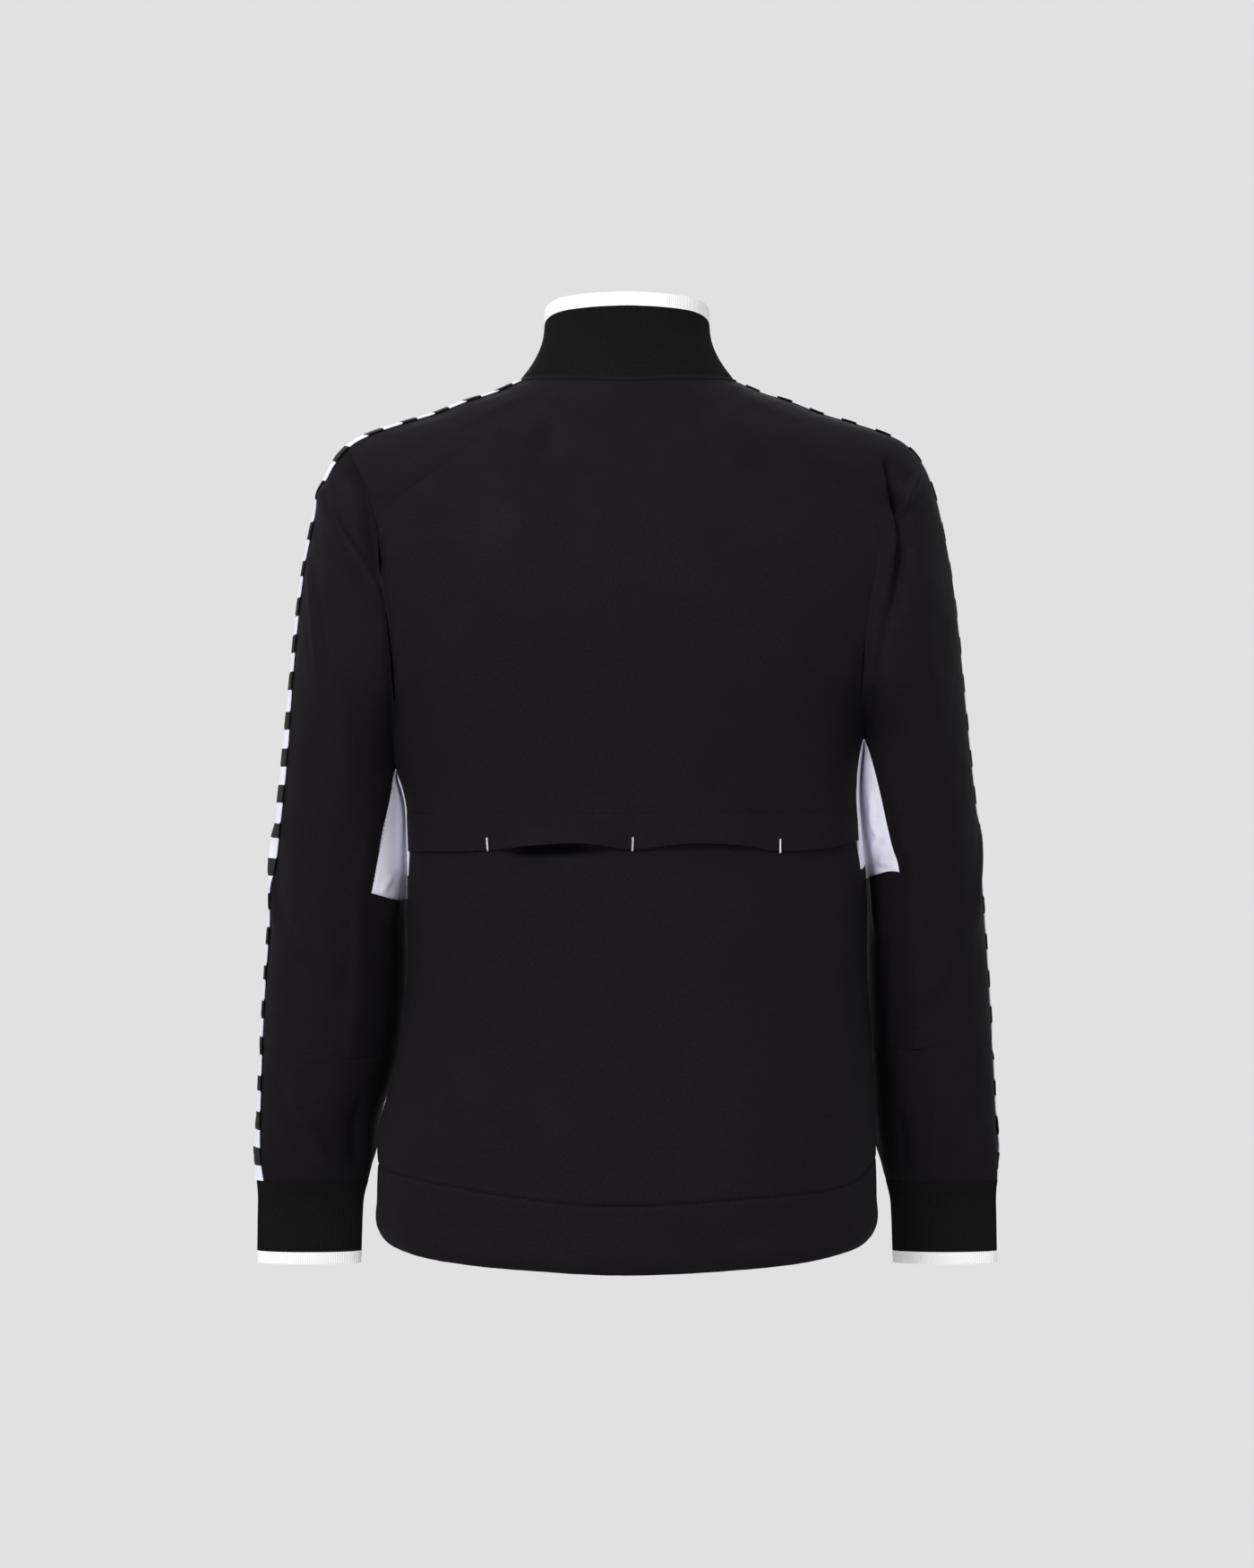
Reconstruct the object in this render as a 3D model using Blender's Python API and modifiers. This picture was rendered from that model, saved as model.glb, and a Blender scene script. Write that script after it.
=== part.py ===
"""A windbreaker as it is worn, hollow, with nobody in it: each sewn piece is one thin wall.

Metres, +Z up. The back faces +Y, the front -Y, and +X is the wearer's left. The origin is the
middle of the neck opening, level with the neck seam at the centre back. "down" is the distance
below the origin, and "turn" is an angle in degrees: round the body it runs from the centre back
(0) over the side (90) to the centre front (180), and round a sleeve from its outer line (0) over
the back (90) to the underarm line (180). "side" is +1 on the wearer's left and -1 on the right.
"""

import math
from types import SimpleNamespace

import bmesh
import bpy
import numpy as np
from mathutils import Vector

MM = 0.001
SEAM_GAP = 0.3 * MM
CLOTH = 1.2 * MM  # woven cloth with its turned seam allowance
RIB = 2.2 * MM  # knitted collar and cuffs
TAPE = 0.8 * MM
SIDES = {"left": 1, "right": -1}


class Table:
    """Rows of named columns, read between the rows of its first column along a smooth curve."""

    def __init__(self, names, rows):
        self.names = names.split()[1:]
        rows = np.array(rows, float)
        self.at, self.values = rows[:, 0], rows[:, 1:]
        step = np.diff(self.at)[:, None]
        slope = np.diff(self.values, axis=0) / step
        inner = (slope[:-1] * step[1:] + slope[1:] * step[:-1]) / (step[:-1] + step[1:])
        inner[slope[:-1] * slope[1:] <= 0] = 0
        self.slopes = np.vstack([slope[:1], inner, slope[-1:]])

    def __call__(self, at):
        at = np.clip(np.asarray(at, float), self.at[0], self.at[-1])
        row = np.clip(np.searchsorted(self.at, at, "right") - 1, 0, len(self.at) - 2)
        step = (self.at[row + 1] - self.at[row])[..., None]
        t = (at - self.at[row])[..., None] / step
        value = (
            (1 + 2 * t) * (1 - t) ** 2 * self.values[row]
            + t * (1 - t) ** 2 * step * self.slopes[row]
            + t * t * (3 - 2 * t) * self.values[row + 1]
            + t * t * (t - 1) * step * self.slopes[row + 1]
        )
        return SimpleNamespace(**{n: value[..., k] for k, n in enumerate(self.names)})


# Neck, collar and cuff sizes.
NECK_HALF = 0.086
NECK_BACK = 0.070
NECK_FRONT = 0.075
RIM_HALF = 0.0645
RIM_BACK = 0.061
RIM_FRONT = 0.064
COLLAR_TIP = 10.5 * MM
COLLAR_HOLLOW = 2.0  # how quickly the collar narrows above its seam
CUFF_SEAM = 0.622
CUFF_TIP = 0.6785
CUFF_END = 0.688
CUFF_COLUMNS = 25
CUFF_MIDDLE = (0.25, -0.056, -0.65)  # a point inside the left cuff
RIB_DRAWN_IN = 1.5 * MM  # how much narrower the cuff's rib is than the sleeve
COLLAR_COLUMNS = 37
COLLAR_SHARES = (0.0, 0.18, 0.4, 0.68, 1.0)

# Where the pieces end, below the origin.
ARMPIT = 0.285
GUSSET_ON_SLEEVE = 0.391
GUSSET_ON_BODY = 0.375
LOWER_BACK_TOP = 0.300
ZIP_HALF_GAP = 4 * MM
SIDE_SEAM = 90.0

# The body's cross-section: half its width, its depth behind and before the origin, how square
# it is (2 is an ellipse), and how far its middle stands to the wearer's left.
BODY = Table(
    "down half back front square sway",
    [
        (-0.005, 0.086, 0.070, 0.043, 2.00, 0.000),
        (0.010, 0.127, 0.073, 0.050, 2.00, 0.000),
        (0.020, 0.152, 0.0755, 0.0545, 2.05, 0.000),
        (0.037, 0.205, 0.080, 0.062, 2.10, 0.000),
        (0.060, 0.231, 0.087, 0.0725, 2.15, 0.000),
        (0.090, 0.243, 0.0955, 0.086, 2.20, 0.000),
        (0.120, 0.244, 0.104, 0.098, 2.30, 0.000),
        (0.160, 0.236, 0.112, 0.111, 2.35, 0.000),
        (0.200, 0.223, 0.115, 0.119, 2.40, 0.000),
        (0.240, 0.206, 0.1125, 0.1215, 2.40, -0.001),
        (0.285, 0.1845, 0.108, 0.119, 2.40, -0.002),
        (0.320, 0.1775, 0.105, 0.115, 2.40, -0.004),
        (0.400, 0.1788, 0.101, 0.110, 2.40, -0.008),
        (0.465, 0.1796, 0.102, 0.109, 2.40, -0.008),
        (0.535, 0.1870, 0.111, 0.114, 2.40, -0.005),
        (0.575, 0.1935, 0.118, 0.119, 2.45, 0.000),
        (0.610, 0.1940, 0.122, 0.122, 2.50, 0.000),
        (0.680, 0.1938, 0.123, 0.122, 2.50, 0.000),
    ],
)

# A sleeve from the neck to the armpit: its outer line over the shoulder, and its seams with the
# back and the front, whose depth is the body's. Each turn is the arc from the outer line.
RAGLAN = Table(
    "t out_x out_down out_y back_x back_down back_turn front_x front_down front_turn",
    [
        (0.00, 0.0860, -0.0050, 0.000, 0.0410, -0.0020, 60.4, 0.0617, 0.0300, 42),
        (0.10, 0.1057, 0.0035, 0.000, 0.0574, 0.0119, 62, 0.0780, 0.0430, 48),
        (0.20, 0.1270, 0.0100, 0.000, 0.0758, 0.0253, 65, 0.0935, 0.0560, 54),
        (0.30, 0.1510, 0.0195, 0.000, 0.0960, 0.0362, 69, 0.1080, 0.0690, 60),
        (0.40, 0.1764, 0.0270, 0.000, 0.1171, 0.0465, 73, 0.1215, 0.0830, 66),
        (0.50, 0.2055, 0.0370, -0.001, 0.1381, 0.0624, 78, 0.1330, 0.0980, 72),
        (0.58, 0.2196, 0.0455, -0.002, 0.1560, 0.0750, 82, 0.1415, 0.1130, 77),
        (0.64, 0.2300, 0.0580, -0.003, 0.1720, 0.0860, 86, 0.1470, 0.1270, 81),
        (0.70, 0.2395, 0.0800, -0.004, 0.1870, 0.0985, 89, 0.1515, 0.1430, 85),
        (0.76, 0.2465, 0.1080, -0.005, 0.1935, 0.1150, 91, 0.1550, 0.1610, 89),
        (0.82, 0.2530, 0.1420, -0.006, 0.1905, 0.1400, 94, 0.1585, 0.1810, 92),
        (0.88, 0.2585, 0.1830, -0.007, 0.1845, 0.1750, 97, 0.1620, 0.2060, 98),
        (0.94, 0.2635, 0.2330, -0.009, 0.1800, 0.2300, 112, 0.1670, 0.2400, 115),
        (1.00, 0.2688, 0.2850, -0.010, 0.1815, 0.2850, 146, 0.1768, 0.2850, 150),
    ],
)

# A sleeve from the armpit to the cuff's end.
SLEEVE = Table(
    "down outer inner mid_y back front",
    [
        (0.285, 0.2688, 0.1735, -0.010, 0.0676, 0.0680),
        (0.340, 0.2752, 0.1775, -0.020, 0.0660, 0.0650),
        (0.391, 0.2800, 0.1795, -0.030, 0.0650, 0.0620),
        (0.465, 0.2862, 0.1815, -0.042, 0.0600, 0.0570),
        (0.5355, 0.2910, 0.1880, -0.050, 0.0500, 0.0480),
        (0.5775, 0.2930, 0.1972, -0.053, 0.0400, 0.0380),
        (0.605, 0.2945, 0.2010, -0.055, 0.0300, 0.0290),
        (0.622, 0.2948, 0.2052, -0.056, 0.0210, 0.0200),
        (0.690, 0.2957, 0.2100, -0.056, 0.0165, 0.0155),
    ],
)

# The gusset's edges on the sleeve, and on the body. More of it shows on the wearer's right.
GUSSET_SLEEVE = {
    1: Table(
        "down back_turn front_turn",
        [
            (0.285, 146, 150),
            (0.300, 142, 147),
            (0.320, 138, 143),
            (0.345, 131, 138),
            (0.391, 120.5, 130),
        ],
    ),
    -1: Table(
        "down back_turn front_turn",
        [
            (0.285, 146, 150),
            (0.300, 138, 147),
            (0.320, 131, 143),
            (0.345, 126, 138),
            (0.391, 119, 130),
        ],
    ),
}
GUSSET_BODY = {
    1: Table(
        "down back_turn front_turn",
        [(0.285, 81.3, 104.3), (0.320, 83.5, 104.0), (0.375, 84.5, 103.0), (0.400, 84.5, 103.0)],
    ),
    -1: Table(
        "down back_turn front_turn",
        [(0.285, 81.3, 104.3), (0.320, 80.5, 104.0), (0.375, 80.0, 103.0), (0.400, 80.0, 103.0)],
    ),
}

# How the cloth round the underarm has settled: near a place so far out and down, it is moved
# down by some distance, which fades over so far across and so far up and down.
SETTLED = {
    1: [
        (0.184, 0.290, 0.0105, 0.034, 0.036),
        (0.176, 0.388, 0.0080, 0.018, 0.020),
    ],
    -1: [
        (0.184, 0.283, -0.0135, 0.034, 0.036),
        (0.205, 0.390, -0.0155, 0.026, 0.024),
        (0.176, 0.384, 0.0060, 0.016, 0.016),
    ],
}

# Heights above the origin round the neck seam and the top of the black rib.
NECK = Table(
    "turn seam rib_top",
    [
        (0, 0.0000, 0.0590),
        (30, 0.0020, 0.0582),
        (60, 0.0042, 0.0560),
        (90, 0.0050, 0.0480),
        (110, -0.0080, 0.0360),
        (132, -0.0300, 0.0200),
        (155, -0.0525, 0.0050),
        (180, -0.0650, -0.0030),
    ],
)

# The hem band, by the turn, which is below 0 on the wearer's right: how low its seam and its end
# are. It dips at the centre back.
HEM = Table(
    "turn seam end",
    [
        (-180, 0.6120, 0.6660),
        (-110, 0.6060, 0.6600),
        (-90, 0.5983, 0.6550),
        (-75, 0.6044, 0.6625),
        (-70, 0.6112, 0.6655),
        (-64, 0.6154, 0.6680),
        (-54, 0.6185, 0.6718),
        (-37.6, 0.6210, 0.6750),
        (-20, 0.6238, 0.6772),
        (0, 0.6256, 0.6782),
        (20, 0.6240, 0.6772),
        (31, 0.6211, 0.6756),
        (42, 0.6177, 0.6742),
        (51.5, 0.6133, 0.6722),
        (61, 0.6100, 0.6696),
        (70.8, 0.6061, 0.6655),
        (81, 0.6040, 0.6600),
        (90, 0.6028, 0.6550),
        (110, 0.6060, 0.6600),
        (180, 0.6120, 0.6660),
    ],
)

# The loose edge of the upper back from the wearer's right to the left: how low it hangs and how
# far it stands off. Three bar tacks hold it down where it stands off least.
FLAP = Table(
    "x down lift",
    [
        (-0.180, 0.3520, 0.0000),
        (-0.150, 0.3575, 0.0010),
        (-0.1155, 0.3588, 0.0000),
        (-0.088, 0.3547, 0.0020),
        (-0.050, 0.3527, 0.0035),
        (-0.004, 0.3574, 0.0000),
        (0.034, 0.3525, 0.0060),
        (0.075, 0.3550, 0.0050),
        (0.1055, 0.3582, 0.0000),
        (0.135, 0.3592, 0.0010),
        (0.170, 0.3590, 0.0000),
    ],
)
FLAP_LIFTS_FROM = 0.315
FLAP_END = 0.358
UNDER_FLAP = 3.0 * MM  # how far the lower back lies inside the flap
UNDER_FLAP_ENDS = 0.400

# The seam across the lower sleeve: how low it is, and its slant from the outer to the inner line.
FOREARM_SEAM = {1: (0.5205, 0.0045), -1: (0.5140, 0.0030)}

# The block tape: how far its back edge lies behind the sleeve's outer line, measured round the
# sleeve. The sleeves hang turned a little, so more of it shows behind on the wearer's left.
TAPE_WIDTH = 34 * MM
TAPE_COLUMNS = 7
TAPE_PROUD = 0.25 * MM  # how much more than a seam gap lies between the tape and the sleeve
TAPE_EDGE = {
    1: Table(
        "down back",
        [
            (-0.005, 0.0240),
            (0.050, 0.0260),
            (0.126, 0.0245),
            (0.200, 0.0290),
            (0.2975, 0.0330),
            (0.380, 0.0260),
            (0.437, 0.0170),
            (0.550, 0.0160),
            (0.622, 0.0140),
        ],
    ),
    -1: Table(
        "down back",
        [(-0.005, 0.0100), (0.045, 0.0080), (0.080, 0.0000), (0.200, -0.0040), (0.622, -0.0040)],
    ),
}
SEAM_UNDER_TAPE = {1: 6.0, -1: -14.0}  # the turn of the seam that the tape covers

# Soft folds at the sleeve's head and above its cuff, on the back of a sleeve: from (t, turn) to
# (t, turn) along the sleeve, how wide and how deep they are.
HEAD_FOLDS = {
    1: [((0.60, 35), (0.80, 88), 12 * MM, 6 * MM), ((0.66, 18), (0.84, 62), 9 * MM, -3 * MM)],
    -1: [((0.60, 40), (0.78, 86), 12 * MM, 5 * MM), ((0.62, 20), (0.74, 60), 8 * MM, -2.5 * MM)],
}


def smooth(x):
    x = np.clip(x, 0, 1)
    return x * x * (3 - 2 * x)


def stack(x, y, z):
    return np.stack(np.broadcast_arrays(x, y, z), axis=-1)


def body_depth(x, down, front):
    """How far the body's surface is before or behind the origin, x from the body's middle."""
    row = BODY(down)
    reach = row.front if front else row.back
    inside = 1 - np.clip(np.abs(x) / row.half, 0, 1) ** row.square
    return (-1 if front else 1) * reach * inside ** (1 / row.square)


def body_side(y, down, side):
    """How far out the body's surface is at y, on one side."""
    row = BODY(down)
    reach = np.where(y < 0, row.front, row.back)
    inside = 1 - np.clip(np.abs(y) / reach, 0, 1) ** row.square
    return row.half * inside ** (1 / row.square) + side * row.sway


def body_turn(x, down, front):
    """The turn at which the body's surface is x from its middle."""
    return np.degrees(np.arctan2(x, body_depth(x, down, front)))


def body_point(turn, down, out=0.0):
    """A point of the body's surface, or that far outside it."""
    row = BODY(down)
    s, c = np.sin(np.radians(turn)), np.cos(np.radians(turn))
    reach = np.where(c < 0, row.front, row.back)
    n = row.square
    radius = (np.abs(s / row.half) ** n + np.abs(c / reach) ** n) ** (-1 / n) + out
    return stack(radius * s + row.sway, radius * c, -down)


def neck_point(turn):
    """A point of the neck seam."""
    s, c = np.sin(np.radians(turn)), np.cos(np.radians(turn))
    depth = np.where(c < 0, NECK_FRONT, NECK_BACK)
    return stack(NECK_HALF * s, depth * c, NECK(np.abs(turn)).seam)


def neck_at(x, front):
    """The point of the neck seam that is x from the middle."""
    turn = np.degrees(np.arcsin(np.clip(x / NECK_HALF, -1, 1)))
    return neck_point(np.sign(turn) * 180 - turn if front else turn)


def seam_point(t, side, front):
    """A point of a sleeve's seam with the back or the front, in that side's own coordinates."""
    row = RAGLAN(t)
    x, down = (row.front_x, row.front_down) if front else (row.back_x, row.back_down)
    return stack(x + side * BODY(down).sway, body_depth(x, down, front), -down)


def raglan_point(t, turn, side):
    """A point of a sleeve above the armpit. A turn below 0 is on its front."""
    row = RAGLAN(t)
    front = np.asarray(turn) < 0
    end = np.where(front[..., None], seam_point(t, side, True), seam_point(t, side, False))
    whole = np.radians(np.where(front, row.front_turn, row.back_turn))
    start = stack(row.out_x, row.out_y, -row.out_down)
    angle = np.radians(np.abs(turn))
    in_and_down = ((1 - np.cos(angle)) / (1 - np.cos(whole)))[..., None]
    along_y = (np.sin(angle) / np.sin(whole))[..., None]
    share = np.concatenate([in_and_down, along_y, in_and_down], axis=-1)
    point = start + (end - start) * share
    return point * np.array([side, 1, 1])


def sleeve_point(down, turn, side):
    """A point of a sleeve below the armpit, kept clear of the body. The turn may pass 180."""
    down, turn = np.broadcast_arrays(np.asarray(down, float), np.asarray(turn, float))
    row = SLEEVE(down)
    inner = row.inner + side * BODY(down).sway
    half, middle = (row.outer - inner) / 2, (row.outer + inner) / 2
    angle = np.radians(turn)
    depth = np.where(np.sin(angle) < 0, row.front, row.back)
    x, y = middle + half * np.cos(angle), row.mid_y + depth * np.sin(angle)
    # It starts on the raglan part's last row, and eases off it.
    back_side = np.where(turn > 180, turn - 360, turn)
    limit = np.where(back_side < 0, -RAGLAN(1).front_turn, RAGLAN(1).back_turn)
    nearer = np.where(np.abs(back_side) < np.abs(limit), back_side, limit)
    top = SLEEVE(ARMPIT)
    top_inner = top.inner + side * BODY(ARMPIT).sway
    top_half, top_middle = (top.outer - top_inner) / 2, (top.outer + top_inner) / 2
    top_depth = np.where(nearer < 0, top.front, top.back)
    start = raglan_point(np.ones_like(nearer), nearer, side) * np.array([side, 1, 1])
    near = np.radians(nearer)
    ease = 1 - smooth((down - ARMPIT) / 0.045)
    x = x + ease * (start[..., 0] - top_middle - top_half * np.cos(near))
    y = y + ease * (start[..., 1] - top.mid_y - top_depth * np.sin(near))
    clear = 0.4 * MM + 1.4 * MM * smooth((down - ARMPIT) / 0.016)
    clear = clear + 4.2 * MM * smooth((down - 0.345) / 0.030)
    wall = body_side(y, down, side) + clear
    soft = 2 * MM
    pushed = np.where(
        x - wall > 8 * soft, x, wall + soft * np.log1p(np.exp(np.minimum((x - wall) / soft, 8)))
    )
    x = np.where(np.cos(angle) < 0, pushed, x)
    return stack(side * x, y, -down)


def forearm_seam(turn, side):
    low, slant = FOREARM_SEAM[side]
    return low - slant * np.cos(np.radians(turn))


def hem_seam(turn):
    return HEM(turn).seam


def hem_end(turn):
    return HEM(turn).end


def settle(points):
    """The points with the cloth round each underarm settled."""
    settled = points.copy()
    for side, places in SETTLED.items():
        for out, down, shift, wide, tall in places:
            across = (side * points[..., 0] - out) / wide
            along = (-points[..., 2] - down) / tall
            settled[..., 2] -= shift * np.exp(-(across**2) - along**2)
    return settled


def normals(points, inside):
    """Unit normals of a grid of points, pointing away from the point inside."""
    n = np.cross(np.gradient(points, axis=1), np.gradient(points, axis=0))
    n /= np.maximum(np.linalg.norm(n, axis=-1, keepdims=True), 1e-12)
    return n if (n * (points - inside)).sum() > 0 else -n


def folded(points, t, turn, side, inside):
    """The points of a sleeve's back with the folds at its head pressed in."""
    push = np.zeros(points.shape[:2])
    for (t0, turn0), (t1, turn1), width, depth in HEAD_FOLDS[side]:
        ends = [
            raglan_point(np.array(a), np.array(float(b)), side) for a, b in ((t0, turn0), (t1, turn1))
        ]
        line = ends[1] - ends[0]
        s = np.clip(((points - ends[0]) @ line) / (line @ line), 0, 1)
        off = np.linalg.norm(points - ends[0] - s[..., None] * line, axis=-1)
        push -= depth * np.exp(-((off / width) ** 2)) * np.sin(math.pi * np.clip(s, 0.08, 0.92))
    edge = 1 - smooth((np.abs(turn) / np.maximum(RAGLAN(t).back_turn, 1) - 0.8) / 0.2)
    return points + normals(points, inside) * (push * edge * smooth(turn / 25))[..., None]


def material(name, colour, roughness, metallic=0.0):
    made = bpy.data.materials.new(name)
    made.use_nodes = True
    shader = made.node_tree.nodes["Principled BSDF"]
    shader.inputs["Base Color"].default_value = (*colour, 1)
    shader.inputs["Roughness"].default_value = roughness
    shader.inputs["Metallic"].default_value = metallic
    return made


def inset(mesh, thickness):
    """Moves the open edges of a surface inwards along it, which leaves the gap of a seam.

    Where the surface goes on bending past the edge, it moves by what the wall's inner side needs.
    """
    moves = {}
    for edge in mesh.edges:
        if not edge.is_boundary:
            continue
        face = edge.link_faces[0]
        along = (edge.verts[1].co - edge.verts[0].co).normalized()
        inward = face.calc_center_median() - edge.verts[0].co
        inward = (inward - along * inward.dot(along)).normalized()
        bend = 0.0
        for other in face.edges:
            if set(other.verts) & set(edge.verts) or other.is_boundary:
                continue
            beyond = [f for f in other.link_faces if f is not face][0]
            bend = min(face.normal.angle(beyond.normal), 1.0)
        distance = SEAM_GAP / 2 + thickness * math.tan(bend / 2)
        for vertex in edge.verts:
            moves.setdefault(vertex, []).append((inward, distance))
    for vertex, ((way_a, a), (way_b, b)) in moves.items():
        shared = way_a.dot(way_b)
        if abs(shared) > 0.9:
            vertex.co += (way_a + way_b).normalized() * max(a, b)
        else:
            part_a = (a - shared * b) / (1 - shared * shared)
            part_b = (b - shared * a) / (1 - shared * shared)
            vertex.co += way_a * part_a + way_b * part_b


def panel(name, points, thickness, finish, inside, keep=None, outward=0.0):
    """A cloth piece: a grid laid on computed points, cut to shape and thickened inwards."""
    rows, columns = points.shape[:2]
    if outward:
        points = points + normals(points, inside) * outward
    points = settle(points)
    mesh = bmesh.new()
    bmesh.ops.create_grid(mesh, x_segments=columns - 1, y_segments=rows - 1, size=1)
    mesh.verts.ensure_lookup_table()
    for vertex, point in zip(mesh.verts, points.reshape(-1, 3)):
        vertex.co = point
    if keep is not None:
        cut = [face for face, kept in zip(mesh.faces, keep.reshape(-1)) if not kept]
        bmesh.ops.delete(mesh, geom=cut, context="FACES")
    bmesh.ops.remove_doubles(mesh, verts=mesh.verts, dist=1e-6)
    mesh.normal_update()
    middle = Vector(inside)
    facing = sum(
        face.normal.dot(face.calc_center_median() - middle) * face.calc_area()
        for face in mesh.faces
    )
    if facing < 0:
        bmesh.ops.reverse_faces(mesh, faces=mesh.faces)
    inset(mesh, thickness)
    return finish_object(name, mesh, finish, thickness)


def finish_object(name, mesh, finish, thickness=0.0):
    data = bpy.data.meshes.new(name)
    mesh.to_mesh(data)
    mesh.free()
    data.materials.append(MATERIALS[finish])
    piece = bpy.data.objects.new(name, data)
    PIECES.objects.link(piece)
    if thickness:
        wall = piece.modifiers.new("wall", "SOLIDIFY")
        wall.thickness = thickness
        wall.offset = -1
        wall.use_even_offset = True
    data.shade_smooth()
    return piece


def spaced(*stops):
    """Values that run through the stops, given as value, steps, value, steps, ..., value."""
    values = [stops[0]]
    for steps, end in zip(stops[1::2], stops[2::2]):
        values += list(np.linspace(values[-1], end, steps + 1)[1:])
    return np.array(values)


# Rows that neighbouring pieces share, so that their edges follow one another.
RAGLAN_ROWS = spaced(0, 5, 0.5, 3, 0.64, 6, 1)
SLEEVE_GUSSET_ROWS = spaced(0.294, 1, 0.302, 1, 0.315, 3, GUSSET_ON_SLEEVE)
BODY_GUSSET_ROWS = spaced(0.294, 1, 0.302, 1, 0.315, 2, GUSSET_ON_BODY)
BODY_ROWS = spaced(GUSSET_ON_BODY, 1, 0.400, 2, 0.465, 3, 0.575)
ELBOW_ROWS = spaced(GUSSET_ON_SLEEVE, 2, 0.465)[1:]
FOREARM_SHARES = np.array([0, 0.25, 0.5, 0.75, 0.9, 1.0])


def ease_to(points, first_row, rows):
    """The grid with its first row moved onto a curve, and the move faded out over some rows."""
    fade = 1 - smooth(np.arange(len(points)) / rows)
    return points + (first_row - points[0]) * fade[:, None, None]


def seam_turns(t, front):
    row = RAGLAN(t)
    if front:
        return body_turn(row.front_x, row.front_down, True)
    return body_turn(row.back_x, row.back_down, False)


BODY_INSIDE = np.array([0.0, 0.0, -0.35])


def upper_back():
    t = RAGLAN_ROWS
    down = np.concatenate([RAGLAN(t).back_down, BODY_GUSSET_ROWS[:4], [1.0]])
    edges = []
    for side in (-1, 1):
        below = GUSSET_BODY[side](np.minimum(down[len(t) :], FLAP_END)).back_turn
        edges.append(side * np.append(seam_turns(t, False), below)[:, None])
    u = np.linspace(-1, 1, 27)
    turn = edges[0] + (edges[1] - edges[0]) * (u + 1) / 2
    low = np.repeat(down[:, None], len(u), axis=1)
    low[-1] = FLAP(body_point(turn[-1], 0.355)[:, 0]).down
    lift = FLAP(body_point(turn, np.minimum(low, 0.36))[..., 0]).lift
    lift = lift * smooth((low - FLAP_LIFTS_FROM) / (0.354 - FLAP_LIFTS_FROM))
    points = body_point(turn, low, lift)
    points = ease_to(points, neck_at(RAGLAN(0).back_x * u, False), 4)
    panel("back_upper", points, CLOTH, "cloth", BODY_INSIDE)


def hem_turns_back():
    """The turns of the back's columns at the hem seam."""
    right, left = (side * (GUSSET_BODY[side](1.0).back_turn - 0.6) for side in (-1, 1))
    return np.concatenate([[-SIDE_SEAM], np.linspace(right, left, 21), [SIDE_SEAM]])


def hem_turns_front(side):
    """The turns of a front's columns at the hem seam."""
    zip_turn = 180 - math.degrees(math.atan(ZIP_HALF_GAP / BODY(1.0).front))
    return np.append(np.linspace(zip_turn, GUSSET_BODY[side](1.0).front_turn, 10), SIDE_SEAM)


def lower_back():
    down = np.concatenate([spaced(LOWER_BACK_TOP, 2, 0.345), BODY_ROWS, [1.0]])
    edges = [side * (GUSSET_BODY[side](down).back_turn - 0.6)[:, None] for side in (-1, 1)]
    across = edges[0] + (edges[1] - edges[0]) * np.linspace(0, 1, 21)
    side_column = np.full((len(down), 1), SIDE_SEAM)
    turn = np.hstack([-side_column, across, side_column])
    low = np.repeat(down[:, None], turn.shape[1], axis=1)
    low[-1] = hem_seam(turn[-1])
    under = UNDER_FLAP * (1 - smooth((low - 0.362) / (UNDER_FLAP_ENDS - 0.362)))
    under *= np.where(low < GUSSET_ON_BODY - 1e-6, 1, 1 - smooth((np.abs(turn) - 60) / 19))
    keep = np.ones((len(down) - 1, turn.shape[1] - 1), bool)
    keep[down[:-1] < GUSSET_ON_BODY - 1e-6, 0] = False
    keep[down[:-1] < GUSSET_ON_BODY - 1e-6, -1] = False
    panel("back_lower", body_point(turn, low, -under), CLOTH, "cloth", BODY_INSIDE, keep)


def front(side_name, side):
    t = RAGLAN_ROWS
    down = [RAGLAN(t).front_down, BODY_GUSSET_ROWS[:-1], BODY_ROWS, [1.0]]
    down = np.concatenate(down)
    edge = np.append(seam_turns(t, True), GUSSET_BODY[side](down[len(t) :]).front_turn)
    middle = np.append(0.065 + 0.220 * t, down[len(t) :])
    u = np.linspace(0, 1, 10)
    zip_turn = 180 - np.degrees(np.arctan(ZIP_HALF_GAP / BODY(middle).front))
    turn = zip_turn[:, None] + (edge - zip_turn)[:, None] * u
    turn = np.hstack([turn, np.full((len(down), 1), SIDE_SEAM)])
    across = np.append(u, 1.0) ** 2
    low = middle[:, None] + (down - middle)[:, None] * across
    low[-1] = hem_seam(side * turn[-1])
    keep = np.ones((len(down) - 1, turn.shape[1] - 1), bool)
    keep[down[:-1] < GUSSET_ON_BODY - 1e-6, -1] = False
    points = body_point(side * turn, low)
    neck_x = ZIP_HALF_GAP + (RAGLAN(0).front_x - ZIP_HALF_GAP) * u
    neck_x = np.append(neck_x, neck_x[-1])
    points = ease_to(points, neck_at(side * neck_x, True), 4)
    panel(f"front_{side_name}", points, CLOTH, "cloth", BODY_INSIDE, keep)


def hem(side_name, turn):
    share = np.array([0.0, 0.12, 0.5, 0.92, 1.0])[:, None]
    low = hem_seam(turn) * (1 - share) + hem_end(turn) * share
    turned_under = 1.5 * MM + 2.0 * MM * np.abs(np.sin(np.radians(turn)))
    roll = 0.8 * MM * np.sin(math.pi * share) - turned_under * smooth((share - 0.9) / 0.1)
    panel(f"hem_{side_name}", body_point(turn, low, roll), CLOTH, "cloth", BODY_INSIDE)


def sleeve_inside(side):
    return np.array([side * 0.215, -0.015, -0.20])


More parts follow.
